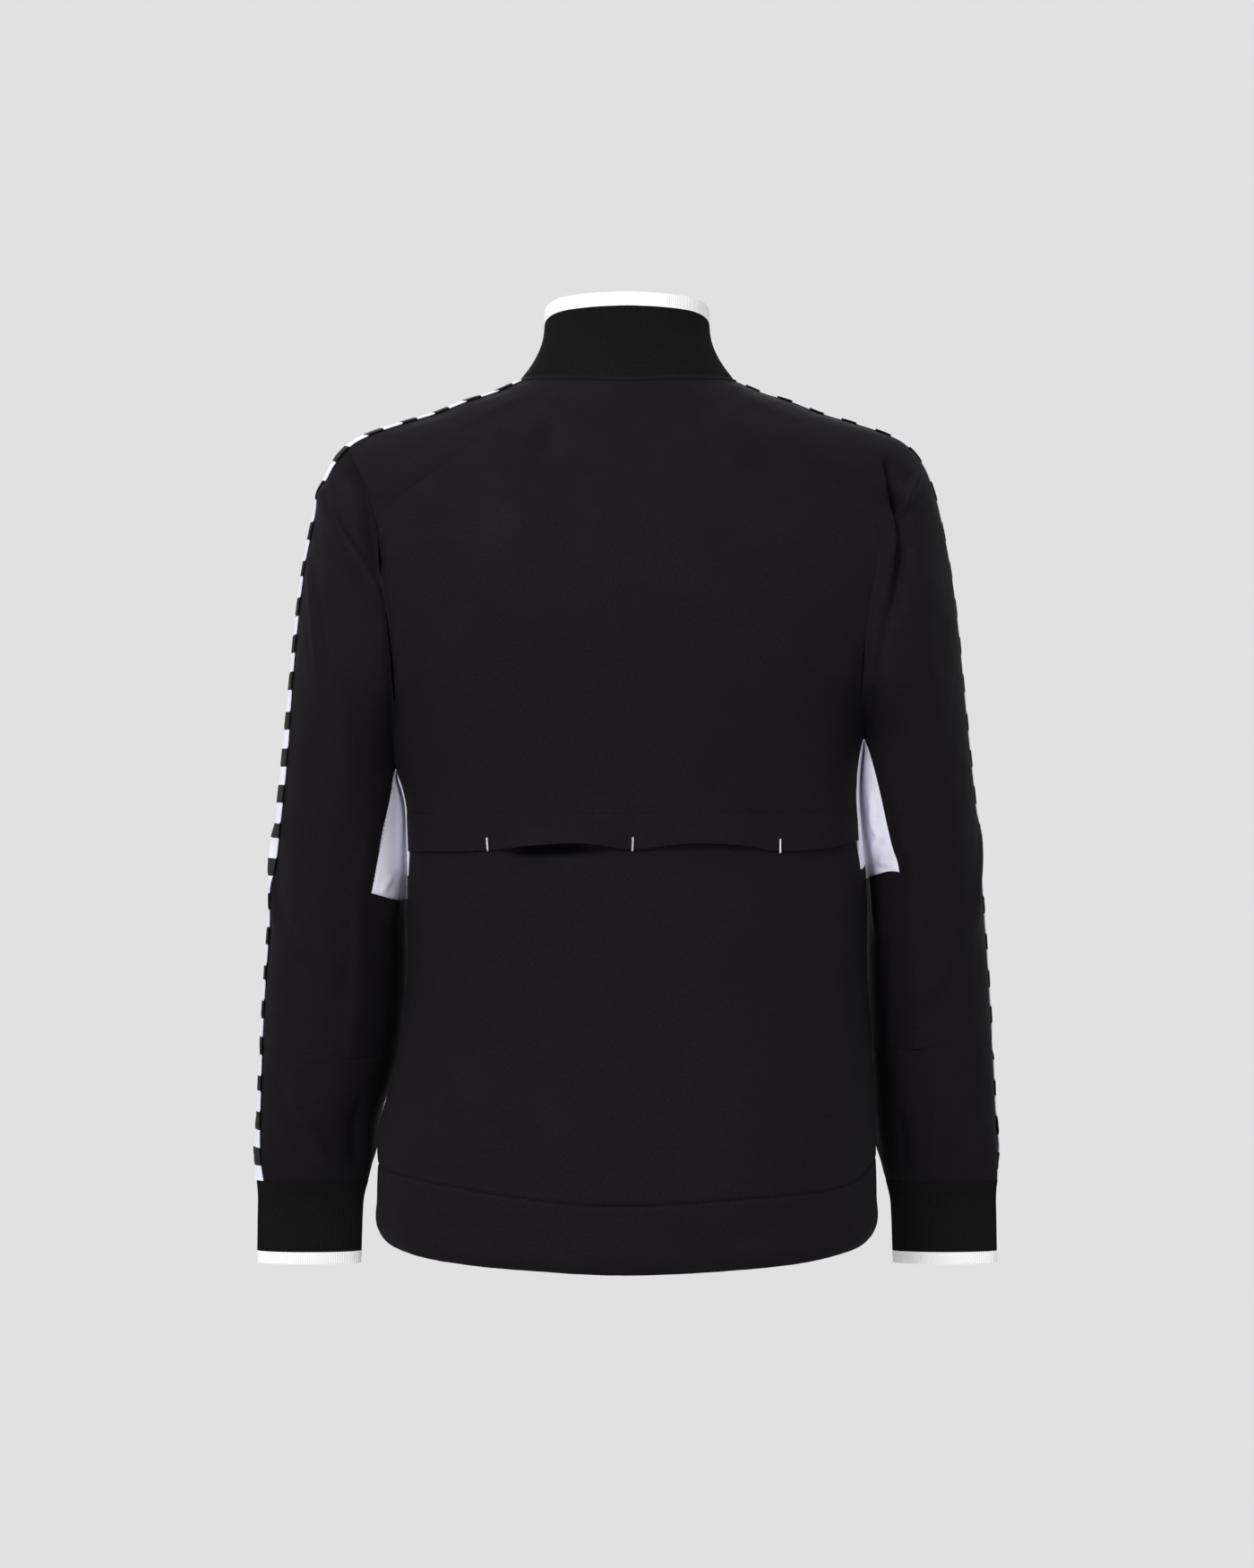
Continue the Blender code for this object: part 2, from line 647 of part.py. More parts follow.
def upper_sleeve(side_name, side, front_half):
    sign = -1 if front_half else 1
    start = SEAM_UNDER_TAPE[side]
    t = RAGLAN_ROWS
    end = RAGLAN(t).front_turn if front_half else RAGLAN(t).back_turn
    columns, more = 6, 3
    u = np.linspace(0, 1, columns + 1)
    turn = start + (sign * end - start)[:, None] * u
    grid_t = np.repeat(t[:, None], columns + 1, axis=1)
    top = raglan_point(grid_t, turn, side)
    top = ease_to(top, neck_point(side * (90 - turn[0])), 4)
    if not front_half:
        top = folded(top, grid_t, turn, side, sleeve_inside(side))
    top = np.concatenate([top, np.repeat(top[:, -1:], more, axis=1)], axis=1)
    down = np.concatenate([SLEEVE_GUSSET_ROWS, ELBOW_ROWS, [1.0]])
    edges = GUSSET_SLEEVE[side](down)
    low_edge = edges.front_turn if front_half else edges.back_turn
    first = start + (sign * low_edge - start)[:, None] * u
    rest = sign * (low_edge[:, None] + (180 - low_edge)[:, None] * np.linspace(0, 1, more + 1)[1:])
    turn = np.hstack([first, rest])
    low = np.repeat(down[:, None], turn.shape[1], axis=1)
    low[-1] = forearm_seam(turn[-1], side)
    tube = sleeve_point(low, turn, side)
    points = np.concatenate([top, tube])
    keep = np.ones((len(points) - 1, columns + more), bool)
    above = len(t) - 1 + int((down <= GUSSET_ON_SLEEVE + 1e-6).sum())
    keep[:above, columns:] = False
    half = "front" if front_half else "back"
    panel(f"sleeve_{half}_{side_name}", points, CLOTH, "cloth", sleeve_inside(side), keep)


def forearm(side_name, side, front_half):
    sign = -1 if front_half else 1
    turn = np.linspace(SEAM_UNDER_TAPE[side], sign * 180, 9)
    share = FOREARM_SHARES[:, None]
    low = forearm_seam(turn, side) * (1 - share) + CUFF_SEAM * share
    half = "front" if front_half else "back"
    inside = np.array([side * 0.245, -0.052, -0.57])
    panel(f"forearm_{half}_{side_name}", sleeve_point(low, turn, side), CLOTH, "cloth", inside)


def gusset(side_name, side):
    """A band over the underarm: down the sleeve's inner side, and down the body's side."""

    def pinched(down):
        """Places across the band, drawn in a little at its ends where it turns over."""
        ends = 0.024 * (1 - smooth((down - 0.290) / 0.025))[:, None]
        return ends + (1 - 2 * ends) * np.linspace(0, 1, 8)

    sleeve_down = SLEEVE_GUSSET_ROWS[::-1]
    row = GUSSET_SLEEVE[side](sleeve_down)
    first, last = row.back_turn[:, None], 360 - row.front_turn[:, None]
    on_sleeve = sleeve_point(sleeve_down[:, None], first + (last - first) * pinched(sleeve_down), side)
    body_down = BODY_GUSSET_ROWS
    row = GUSSET_BODY[side](body_down)
    first, last = row.back_turn[:, None], row.front_turn[:, None]
    on_body = body_point(side * (first + (last - first) * pinched(body_down)), body_down[:, None])
    crease = (on_sleeve[-1] + on_body[0]) / 2
    crease[:, 2] = -ARMPIT - 2.5 * MM
    points = np.concatenate([on_sleeve, crease[None], on_body])
    panel(f"gusset_{side_name}", points, CLOTH, "mesh", np.array([side * 0.187, -0.01, -0.2]))


def turn_at(distance, behind, before):
    """The turns that lie these distances round a section from its outer line, given as half
    widths and depths behind and before that line. A distance below 0 is on the front."""
    turn = np.radians(np.linspace(0, 150, 76))
    found = []
    for sign, (half, depth) in ((1, behind), (-1, before)):
        step = np.hypot(half * np.sin(turn), depth * np.cos(turn)) * (turn[1] - turn[0])
        along = np.concatenate([[0], np.cumsum((step[1:] + step[:-1]) / 2)])
        found.append(np.degrees(np.interp(sign * distance, along, turn)))
    return found[0] - found[1]


def block_tape(side_name, side):
    """The tape from the neck seam over the shoulder and down the sleeve, lying on it."""
    across = np.linspace(0, TAPE_WIDTH, TAPE_COLUMNS)
    t = RAGLAN_ROWS
    row = RAGLAN(t)
    turns = []
    for k, at in enumerate(t):
        spans = []
        for is_front, whole in ((False, row.back_turn[k]), (True, row.front_turn[k])):
            gap = seam_point(at, side, is_front) - np.array([row.out_x[k], row.out_y[k], -row.out_down[k]])
            wide = math.hypot(gap[0], gap[2]) / (1 - math.cos(math.radians(whole)))
            spans.append((wide, abs(gap[1]) / math.sin(math.radians(whole))))
        distance = TAPE_EDGE[side](row.out_down[k]).back - across
        turns.append(turn_at(distance, *spans))
    turns = np.array(turns)
    top = raglan_point(np.repeat(t[:, None], len(across), axis=1), turns, side)
    top = ease_to(top, neck_point(side * (90 - turns[0])), 4)
    seam = forearm_seam(0, side)
    low = seam + (CUFF_SEAM - seam) * FOREARM_SHARES
    down = np.concatenate([SLEEVE_GUSSET_ROWS, ELBOW_ROWS, low])
    turns = []
    for at in down:
        row = SLEEVE(at)
        half = (row.outer - row.inner) / 2
        distance = TAPE_EDGE[side](at).back - across
        turns.append(turn_at(distance, (half, row.back), (half, row.front)))
    points = np.concatenate([top, sleeve_point(down[:, None], np.array(turns), side)])
    panel(
        f"sleeve_tape_{side_name}",
        points,
        TAPE,
        "tape",
        sleeve_inside(side),
        outward=TAPE + SEAM_GAP + TAPE_PROUD,
    )


def cuff(side_name, side):
    turn = np.linspace(0, 360, CUFF_COLUMNS)
    inside = np.array(CUFF_MIDDLE) * [side, 1, 1]
    down = spaced(CUFF_SEAM, 4, CUFF_TIP)[:, None]
    drawn_in = -RIB_DRAWN_IN * smooth((down - CUFF_SEAM) / (6 * MM))
    points = sleeve_point(down, turn, side)
    points = points + normals(points, inside) * np.broadcast_to(drawn_in, points.shape[:2])[..., None]
    points[:, -1] = points[:, 0]
    panel(f"cuff_{side_name}", points, RIB, "rib", inside)
    down = np.array([CUFF_TIP, CUFF_END])[:, None]
    tip = sleeve_point(down, turn, side)
    tip = tip - normals(tip, inside) * RIB_DRAWN_IN
    tip[:, -1] = tip[:, 0]
    panel(f"cuff_tip_{side_name}", tip, RIB, "tip", inside)


def collar_point(turn, share, above=0.0):
    """A point of the collar, share of the way from the neck seam to the top of the black rib."""
    s, c = np.sin(np.radians(turn)), np.cos(np.radians(turn))
    rim_depth = np.where(c < 0, RIM_FRONT, RIM_BACK)
    base = neck_point(turn)
    rim = stack(RIM_HALF * s, rim_depth * c, NECK(np.abs(turn)).rib_top)
    narrowed = 1 - (1 - np.minimum(share, 1)) ** COLLAR_HOLLOW
    blend = np.stack(np.broadcast_arrays(narrowed, narrowed, share), axis=-1)
    point = base + (rim - base) * blend
    point[..., 2] += above
    return point


def collar():
    end = 180 - math.degrees(math.asin(ZIP_HALF_GAP / RIM_HALF))
    turn = np.linspace(-end, end, COLLAR_COLUMNS)
    inside = np.array([0.0, 0.0, 0.0])
    share = np.array(COLLAR_SHARES)[:, None]
    panel("collar", collar_point(turn, share)[::-1], RIB, "rib", inside)
    above = np.array([0.0, 0.5, 1.0])[:, None] * COLLAR_TIP
    tip = collar_point(turn, np.ones_like(above), above)[::-1]
    panel("collar_tip", tip, RIB, "tip", inside + np.array([0, 0, 0.03]))


def front_line(hem_share=1.0):
    """The centre front from the hem band, or that share of it, up to the collar's top."""
    shares = np.array([0, 0.12, 0.5, hem_share])
    hem_rows = hem_seam(180) + (hem_end(180) - hem_seam(180)) * shares
    down = [0.065 + 0.220 * RAGLAN_ROWS[1:], BODY_GUSSET_ROWS[:-1], BODY_ROWS, hem_rows]
    body = body_point(180.0, np.concatenate(down)[::-1])
    neck = collar_point(np.array(180.0), spaced(0.0, 3, 1.0))
    tip = neck[-1:] + np.array([[0, 0, COLLAR_TIP]])
    return np.concatenate([body, neck, tip])


def strip(name, left, right, line, out, thickness, finish, columns=1):
    """A narrow strip along the centre front between two distances from it."""
    across = np.linspace(left, right, columns + 1)
    points = np.repeat(line[:, None], columns + 1, axis=1)
    points[..., 0] += across
    slope = np.gradient(line, axis=0)
    normal = np.stack([np.zeros(len(line)), -slope[:, 2], slope[:, 1]], axis=1)
    normal /= np.linalg.norm(normal, axis=1, keepdims=True)
    points = points + normal[:, None] * out
    panel(name, points, thickness, finish, np.array([0, 0.0, -0.33]))


def zip_strips():
    line = front_line()
    below_neck = front_line(0.8)[:-5]
    behind = -(CLOTH + 2 * SEAM_GAP)
    strip("zip_tape_left", 3.1 * MM, 14 * MM, below_neck, behind, 0.8 * MM, "zip")
    strip("zip_tape_right", -14 * MM, -3.1 * MM, below_neck, behind, 0.8 * MM, "zip")
    strip("zip_chain", -2.8 * MM, 2.8 * MM, line[:-1], 0.4 * MM, 2.0 * MM, "zip", 2)


def cylinder(mesh, radius, length, centre, segments=16):
    """A round bar along X."""
    made = bmesh.ops.create_cone(
        mesh, cap_ends=True, segments=segments, radius1=radius, radius2=radius, depth=length
    )
    for vertex in made["verts"]:
        x, y, z = vertex.co
        vertex.co = (z + centre[0], x + centre[1], y + centre[2])
    bmesh.ops.recalc_face_normals(mesh, faces=mesh.faces)


def block(mesh, size, centre):
    made = bmesh.ops.create_cube(mesh, size=1)
    for vertex in made["verts"]:
        vertex.co = tuple(c * s + m for c, s, m in zip(vertex.co, size, centre))


def helper(name, build):
    mesh = bmesh.new()
    build(mesh)
    data = bpy.data.meshes.new(name)
    mesh.to_mesh(data)
    mesh.free()
    made = bpy.data.objects.new(name, data)
    made.hide_render = True
    made.display_type = "WIRE"
    CUTTERS.objects.link(made)
    return made


def boolean(piece, other, operation):
    step = piece.modifiers.new(operation.lower(), "BOOLEAN")
    step.operation = operation
    step.object = other


def round_off(piece, width):
    step = piece.modifiers.new("rounded", "BEVEL")
    step.width = width
    step.segments = 2


PIN_RADIUS = 0.6 * MM
PIN_OFF = 6.2 * MM  # how far the pin stands off the collar's surface
PULL_LENGTH = 20 * MM
SLIDER = (9 * MM, 3.2 * MM, 9 * MM)


def pin_centre():
    top = front_line()[-1]
    return (0.0, top[1] - PIN_OFF, top[2] - 5 * MM)


def zip_slider():
    """The slider at the top of the closed zip, with two lugs that hold a pin."""
    x, y, z = pin_centre()
    mesh = bmesh.new()
    block(mesh, SLIDER, (x, y + 3.9 * MM, z))
    piece = finish_object("zip_slider", mesh, "metal")
    round_off(piece, 0.8 * MM)
    for number, shift in enumerate((-3.4 * MM, 3.4 * MM)):
        boolean(
            piece,
            helper(
                f"lug_{number}",
                lambda m, s=shift: block(m, (1.2 * MM, 3.6 * MM, 2.4 * MM), (s, y + 0.9 * MM, z)),
            ),
            "UNION",
        )
    pin = helper("pin", lambda m: cylinder(m, PIN_RADIUS, 7.2 * MM, (x, y, z)))
    boolean(piece, pin, "UNION")


def zip_pull():
    """The pull tab: a flat bar that hangs from an eye round the pin."""
    x, y, z = pin_centre()
    mesh = bmesh.new()
    cylinder(mesh, 1.7 * MM, 4.8 * MM, (0, 0, 0), 20)
    piece = finish_object("zip_pull", mesh, "metal")
    piece.location = (x, y, z)
    bar = helper(
        "bar", lambda m: block(m, (4.8 * MM, 1.3 * MM, PULL_LENGTH), (0, 0, -PULL_LENGTH / 2 - 1.0 * MM))
    )
    bore = helper("bore", lambda m: cylinder(m, PIN_RADIUS + SEAM_GAP, 8 * MM, (0, 0, 0), 20))
    round_off(bar, 0.4 * MM)
    for other in (bar, bore):
        other.parent = piece
    boolean(piece, bar, "UNION")
    boolean(piece, bore, "DIFFERENCE")


for old in list(bpy.data.objects):
    bpy.data.objects.remove(old)
PIECES = bpy.data.collections.new("windbreaker")
CUTTERS = bpy.data.collections.new("cutters")
for collection in (PIECES, CUTTERS):
    bpy.context.scene.collection.children.link(collection)
MATERIALS = {
    "cloth": material("black woven cloth", (0.014, 0.012, 0.014), 0.75),
    "rib": material("black rib knit", (0.009, 0.009, 0.009), 0.85),
    "tip": material("white rib tip", (0.87, 0.87, 0.86), 0.8),
    "mesh": material("white gusset cloth", (0.74, 0.73, 0.85), 0.75),
    "tape": material("block tape", (0.25, 0.25, 0.28), 0.6),
    "zip": material("black zip", (0.012, 0.012, 0.012), 0.5),
    "metal": material("black enamelled metal", (0.02, 0.02, 0.02), 0.35, 1.0),
}

upper_back()
lower_back()
hem("back", hem_turns_back())
for side_name, side in SIDES.items():
    front(side_name, side)
    hem(f"front_{side_name}", side * hem_turns_front(side))
    for front_half in (False, True):
        upper_sleeve(side_name, side, front_half)
        forearm(side_name, side, front_half)
    gusset(side_name, side)
    block_tape(side_name, side)
    cuff(side_name, side)
collar()
zip_strips()
zip_slider()
zip_pull()
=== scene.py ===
"""The looks of the windbreaker: each sewn piece as thin cloth on the form of its solid.

Metres, +Z up, the back faces +Y. "down", "turn" and "side" mean what they mean in the part: down
is below the origin, turn is an angle round the body or a sleeve, and side is +1 on the wearer's
left. Places on the back are given as "picture" units, 0.7 mm each, with (700, 875) at the middle
of the view, so that a crease can be placed where it is seen.
"""

import math
from types import SimpleNamespace

import bmesh
import bpy
import numpy as np
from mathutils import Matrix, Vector
from mathutils.bvhtree import BVHTree


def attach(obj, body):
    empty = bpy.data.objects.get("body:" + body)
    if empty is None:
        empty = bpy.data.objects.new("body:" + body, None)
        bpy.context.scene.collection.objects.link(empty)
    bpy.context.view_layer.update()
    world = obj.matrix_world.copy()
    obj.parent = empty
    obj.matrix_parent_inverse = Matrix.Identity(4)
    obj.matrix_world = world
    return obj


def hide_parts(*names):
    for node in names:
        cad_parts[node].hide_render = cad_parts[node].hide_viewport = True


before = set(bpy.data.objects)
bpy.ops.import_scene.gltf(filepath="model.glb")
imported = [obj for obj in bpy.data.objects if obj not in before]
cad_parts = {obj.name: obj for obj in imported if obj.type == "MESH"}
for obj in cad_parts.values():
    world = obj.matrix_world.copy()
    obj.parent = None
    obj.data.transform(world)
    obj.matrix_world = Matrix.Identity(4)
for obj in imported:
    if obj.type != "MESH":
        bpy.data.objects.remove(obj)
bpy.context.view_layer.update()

MM = 0.001
SEAM_GAP = 0.3 * MM
CLOTH = 1.2 * MM  # woven cloth with its turned seam allowance
RIB = 2.2 * MM  # knitted collar and cuffs
TAPE = 0.8 * MM
SIDES = {"left": 1, "right": -1}


def curve(t, step, start, end, start_slope, end_slope):
    """A value between two others, t of the way along a step, on a smooth curve."""
    return (
        (1 + 2 * t) * (1 - t) ** 2 * start
        + t * (1 - t) ** 2 * step * start_slope
        + t * t * (3 - 2 * t) * end
        + t * t * (t - 1) * step * end_slope
    )


class Table:
    """Rows of named columns, read between the rows of its first column along a smooth curve."""

    def __init__(self, names, rows):
        self.names = names.split()[1:]
        rows = np.array(rows, float)
        self.at, self.values = rows[:, 0], rows[:, 1:]
        step = np.diff(self.at)[:, None]
        slope = np.diff(self.values, axis=0) / step
        inner = (slope[:-1] * step[1:] + slope[1:] * step[:-1]) / (step[:-1] + step[1:])
        inner[slope[:-1] * slope[1:] <= 0] = 0
        self.slopes = np.vstack([slope[:1], inner, slope[-1:]])

    def __call__(self, at):
        at = np.clip(np.asarray(at, float), self.at[0], self.at[-1])
        row = np.clip(np.searchsorted(self.at, at, "right") - 1, 0, len(self.at) - 2)
        step = (self.at[row + 1] - self.at[row])[..., None]
        t = (at - self.at[row])[..., None] / step
        ends = self.values[row], self.values[row + 1], self.slopes[row], self.slopes[row + 1]
        value = curve(t, step, *ends)
        return SimpleNamespace(**{n: value[..., k] for k, n in enumerate(self.names)})


# Neck, collar and cuff sizes.
NECK_HALF = 0.086
NECK_BACK = 0.070
NECK_FRONT = 0.075
RIM_HALF = 0.0645
RIM_BACK = 0.061
RIM_FRONT = 0.064
COLLAR_TIP = 10.5 * MM
COLLAR_HOLLOW = 2.0  # how quickly the collar narrows above its seam
CUFF_SEAM = 0.622
CUFF_TIP = 0.6785
CUFF_END = 0.688
CUFF_COLUMNS = 25
CUFF_MIDDLE = (0.25, -0.056, -0.65)  # a point inside the left cuff
RIB_DRAWN_IN = 1.5 * MM  # how much narrower the cuff's rib is than the sleeve
COLLAR_COLUMNS = 37
COLLAR_SHARES = (0.0, 0.18, 0.4, 0.68, 1.0)

# Where the pieces end, below the origin.
ARMPIT = 0.285
GUSSET_ON_SLEEVE = 0.391
GUSSET_ON_BODY = 0.375
LOWER_BACK_TOP = 0.300
ZIP_HALF_GAP = 4 * MM
SIDE_SEAM = 90.0

# The body's cross-section: half its width, its depth behind and before the origin, how square
# it is (2 is an ellipse), and how far its middle stands to the wearer's left.
BODY = Table(
    "down half back front square sway",
    [
        (-0.005, 0.086, 0.070, 0.043, 2.00, 0.000),
        (0.010, 0.127, 0.073, 0.050, 2.00, 0.000),
        (0.020, 0.152, 0.0755, 0.0545, 2.05, 0.000),
        (0.037, 0.205, 0.080, 0.062, 2.10, 0.000),
        (0.060, 0.231, 0.087, 0.0725, 2.15, 0.000),
        (0.090, 0.243, 0.0955, 0.086, 2.20, 0.000),
        (0.120, 0.244, 0.104, 0.098, 2.30, 0.000),
        (0.160, 0.236, 0.112, 0.111, 2.35, 0.000),
        (0.200, 0.223, 0.115, 0.119, 2.40, 0.000),
        (0.240, 0.206, 0.1125, 0.1215, 2.40, -0.001),
        (0.285, 0.1845, 0.108, 0.119, 2.40, -0.002),
        (0.320, 0.1775, 0.105, 0.115, 2.40, -0.004),
        (0.400, 0.1788, 0.101, 0.110, 2.40, -0.008),
        (0.465, 0.1796, 0.102, 0.109, 2.40, -0.008),
        (0.535, 0.1870, 0.111, 0.114, 2.40, -0.005),
        (0.575, 0.1935, 0.118, 0.119, 2.45, 0.000),
        (0.610, 0.1940, 0.122, 0.122, 2.50, 0.000),
        (0.680, 0.1938, 0.123, 0.122, 2.50, 0.000),
    ],
)

# A sleeve from the neck to the armpit: its outer line over the shoulder, and its seams with the
# back and the front, whose depth is the body's. Each turn is the arc from the outer line.
RAGLAN = Table(
    "t out_x out_down out_y back_x back_down back_turn front_x front_down front_turn",
    [
        (0.00, 0.0860, -0.0050, 0.000, 0.0410, -0.0020, 60.4, 0.0617, 0.0300, 42),
        (0.10, 0.1057, 0.0035, 0.000, 0.0574, 0.0119, 62, 0.0780, 0.0430, 48),
        (0.20, 0.1270, 0.0100, 0.000, 0.0758, 0.0253, 65, 0.0935, 0.0560, 54),
        (0.30, 0.1510, 0.0195, 0.000, 0.0960, 0.0362, 69, 0.1080, 0.0690, 60),
        (0.40, 0.1764, 0.0270, 0.000, 0.1171, 0.0465, 73, 0.1215, 0.0830, 66),
        (0.50, 0.2055, 0.0370, -0.001, 0.1381, 0.0624, 78, 0.1330, 0.0980, 72),
        (0.58, 0.2196, 0.0455, -0.002, 0.1560, 0.0750, 82, 0.1415, 0.1130, 77),
        (0.64, 0.2300, 0.0580, -0.003, 0.1720, 0.0860, 86, 0.1470, 0.1270, 81),
        (0.70, 0.2395, 0.0800, -0.004, 0.1870, 0.0985, 89, 0.1515, 0.1430, 85),
        (0.76, 0.2465, 0.1080, -0.005, 0.1935, 0.1150, 91, 0.1550, 0.1610, 89),
        (0.82, 0.2530, 0.1420, -0.006, 0.1905, 0.1400, 94, 0.1585, 0.1810, 92),
        (0.88, 0.2585, 0.1830, -0.007, 0.1845, 0.1750, 97, 0.1620, 0.2060, 98),
        (0.94, 0.2635, 0.2330, -0.009, 0.1800, 0.2300, 112, 0.1670, 0.2400, 115),
        (1.00, 0.2688, 0.2850, -0.010, 0.1815, 0.2850, 146, 0.1768, 0.2850, 150),
    ],
)

# A sleeve from the armpit to the cuff's end.
SLEEVE = Table(
    "down outer inner mid_y back front",
    [
        (0.285, 0.2688, 0.1735, -0.010, 0.0676, 0.0680),
        (0.340, 0.2752, 0.1775, -0.020, 0.0660, 0.0650),
        (0.391, 0.2800, 0.1795, -0.030, 0.0650, 0.0620),
        (0.465, 0.2862, 0.1815, -0.042, 0.0600, 0.0570),
        (0.5355, 0.2910, 0.1880, -0.050, 0.0500, 0.0480),
        (0.5775, 0.2930, 0.1972, -0.053, 0.0400, 0.0380),
        (0.605, 0.2945, 0.2010, -0.055, 0.0300, 0.0290),
        (0.622, 0.2948, 0.2052, -0.056, 0.0210, 0.0200),
        (0.690, 0.2957, 0.2100, -0.056, 0.0165, 0.0155),
    ],
)

# The gusset's edges on the sleeve, and on the body. More of it shows on the wearer's right.
GUSSET_SLEEVE = {
    1: Table(
        "down back_turn front_turn",
        [(0.285, 146, 150), (0.300, 142, 147), (0.320, 138, 143), (0.345, 131, 138), (0.391, 120.5, 130)],
    ),
    -1: Table(
        "down back_turn front_turn",
        [(0.285, 146, 150), (0.300, 138, 147), (0.320, 131, 143), (0.345, 126, 138), (0.391, 119, 130)],
    ),
}
GUSSET_BODY = {
    1: Table(
        "down back_turn front_turn",
        [(0.285, 81.3, 104.3), (0.320, 83.5, 104.0), (0.375, 84.5, 103.0), (0.400, 84.5, 103.0)],
    ),
    -1: Table(
        "down back_turn front_turn",
        [(0.285, 81.3, 104.3), (0.320, 80.5, 104.0), (0.375, 80.0, 103.0), (0.400, 80.0, 103.0)],
    ),
}

# How the cloth round the underarm has settled: near a place so far out and down, it is moved
# down by some distance, which fades over so far across and so far up and down.
SETTLED = {
    1: [
        (0.184, 0.290, 0.0105, 0.034, 0.036),
        (0.176, 0.388, 0.0080, 0.018, 0.020),
    ],
    -1: [
        (0.184, 0.283, -0.0135, 0.034, 0.036),
        (0.205, 0.390, -0.0155, 0.026, 0.024),
        (0.176, 0.384, 0.0060, 0.016, 0.016),
    ],
}

# Heights above the origin round the neck seam and the top of the black rib.
NECK = Table(
    "turn seam rib_top",
    [
        (0, 0.0000, 0.0590),
        (30, 0.0020, 0.0582),
        (60, 0.0042, 0.0560),
        (90, 0.0050, 0.0480),
        (110, -0.0080, 0.0360),
        (132, -0.0300, 0.0200),
        (155, -0.0525, 0.0050),
        (180, -0.0650, -0.0030),
    ],
)

# The hem band, by the turn, which is below 0 on the wearer's right: how low its seam and its end
# are. It dips at the centre back.
HEM = Table(
    "turn seam end",
    [
        (-180, 0.6120, 0.6660),
        (-110, 0.6060, 0.6600),
        (-90, 0.5983, 0.6550),
        (-75, 0.6044, 0.6625),
        (-70, 0.6112, 0.6655),
        (-64, 0.6154, 0.6680),
        (-54, 0.6185, 0.6718),
        (-37.6, 0.6210, 0.6750),
        (-20, 0.6238, 0.6772),
        (0, 0.6256, 0.6782),
        (20, 0.6240, 0.6772),
        (31, 0.6211, 0.6756),
        (42, 0.6177, 0.6742),
        (51.5, 0.6133, 0.6722),
        (61, 0.6100, 0.6696),
        (70.8, 0.6061, 0.6655),
        (81, 0.6040, 0.6600),
        (90, 0.6028, 0.6550),
        (110, 0.6060, 0.6600),
        (180, 0.6120, 0.6660),
    ],
)

# The loose edge of the upper back from the wearer's right to the left: how low it hangs and how
# far it stands off. Three bar tacks hold it down where it stands off least.
FLAP = Table(
    "x down lift",
    [
        (-0.180, 0.3520, 0.0000),
        (-0.150, 0.3575, 0.0010),
        (-0.1155, 0.3588, 0.0000),
        (-0.088, 0.3547, 0.0020),
        (-0.050, 0.3527, 0.0035),
        (-0.004, 0.3574, 0.0000),
        (0.034, 0.3525, 0.0060),
        (0.075, 0.3550, 0.0050),
        (0.1055, 0.3582, 0.0000),
        (0.135, 0.3592, 0.0010),
        (0.170, 0.3590, 0.0000),
    ],
)
FLAP_LIFTS_FROM = 0.315
FLAP_END = 0.358
UNDER_FLAP = 3.0 * MM  # how far the lower back lies inside the flap
UNDER_FLAP_ENDS = 0.400

# The seam across the lower sleeve: how low it is, and its slant from the outer to the inner line.
FOREARM_SEAM = {1: (0.5205, 0.0045), -1: (0.5140, 0.0030)}

# The block tape: how far its back edge lies behind the sleeve's outer line, measured round the
# sleeve. The sleeves hang turned a little, so more of it shows behind on the wearer's left.
TAPE_WIDTH = 34 * MM
TAPE_COLUMNS = 7
TAPE_PROUD = 0.25 * MM  # how much more than a seam gap lies between the tape and the sleeve
TAPE_EDGE = {
    1: Table(
        "down back",
        [
            (-0.005, 0.0240), (0.050, 0.0260), (0.126, 0.0245), (0.200, 0.0290), (0.2975, 0.0330),
            (0.380, 0.0260), (0.437, 0.0170), (0.550, 0.0160), (0.622, 0.0140),
        ],
    ),
    -1: Table(
        "down back",
        [(-0.005, 0.0100), (0.045, 0.0080), (0.080, 0.0000), (0.200, -0.0040), (0.622, -0.0040)],
    ),
}
SEAM_UNDER_TAPE = {1: 6.0, -1: -14.0}  # the turn of the seam that the tape covers

# Soft folds at the sleeve's head, on the back of a sleeve: from (t, turn) to (t, turn) along the
# sleeve, how wide and how deep they are.
HEAD_FOLDS = {
    1: [((0.60, 35), (0.80, 88), 12 * MM, 6 * MM), ((0.66, 18), (0.84, 62), 9 * MM, -3 * MM)],
    -1: [((0.60, 40), (0.78, 86), 12 * MM, 5 * MM), ((0.62, 20), (0.74, 60), 8 * MM, -2.5 * MM)],
}


def smooth(x):
    x = np.clip(x, 0, 1)
    return x * x * (3 - 2 * x)


def stack(x, y, z):
    return np.stack(np.broadcast_arrays(x, y, z), axis=-1)


def body_depth(x, down, front):
    """How far the body's surface is before or behind the origin, x from the body's middle."""
    row = BODY(down)
    reach = row.front if front else row.back
    inside = 1 - np.clip(np.abs(x) / row.half, 0, 1) ** row.square
    return (-1 if front else 1) * reach * inside ** (1 / row.square)


def body_side(y, down, side):
    """How far out the body's surface is at y, on one side."""
    row = BODY(down)
    reach = np.where(y < 0, row.front, row.back)
    inside = 1 - np.clip(np.abs(y) / reach, 0, 1) ** row.square
    return row.half * inside ** (1 / row.square) + side * row.sway


def body_turn(x, down, front):
    """The turn at which the body's surface is x from its middle."""
    return np.degrees(np.arctan2(x, body_depth(x, down, front)))


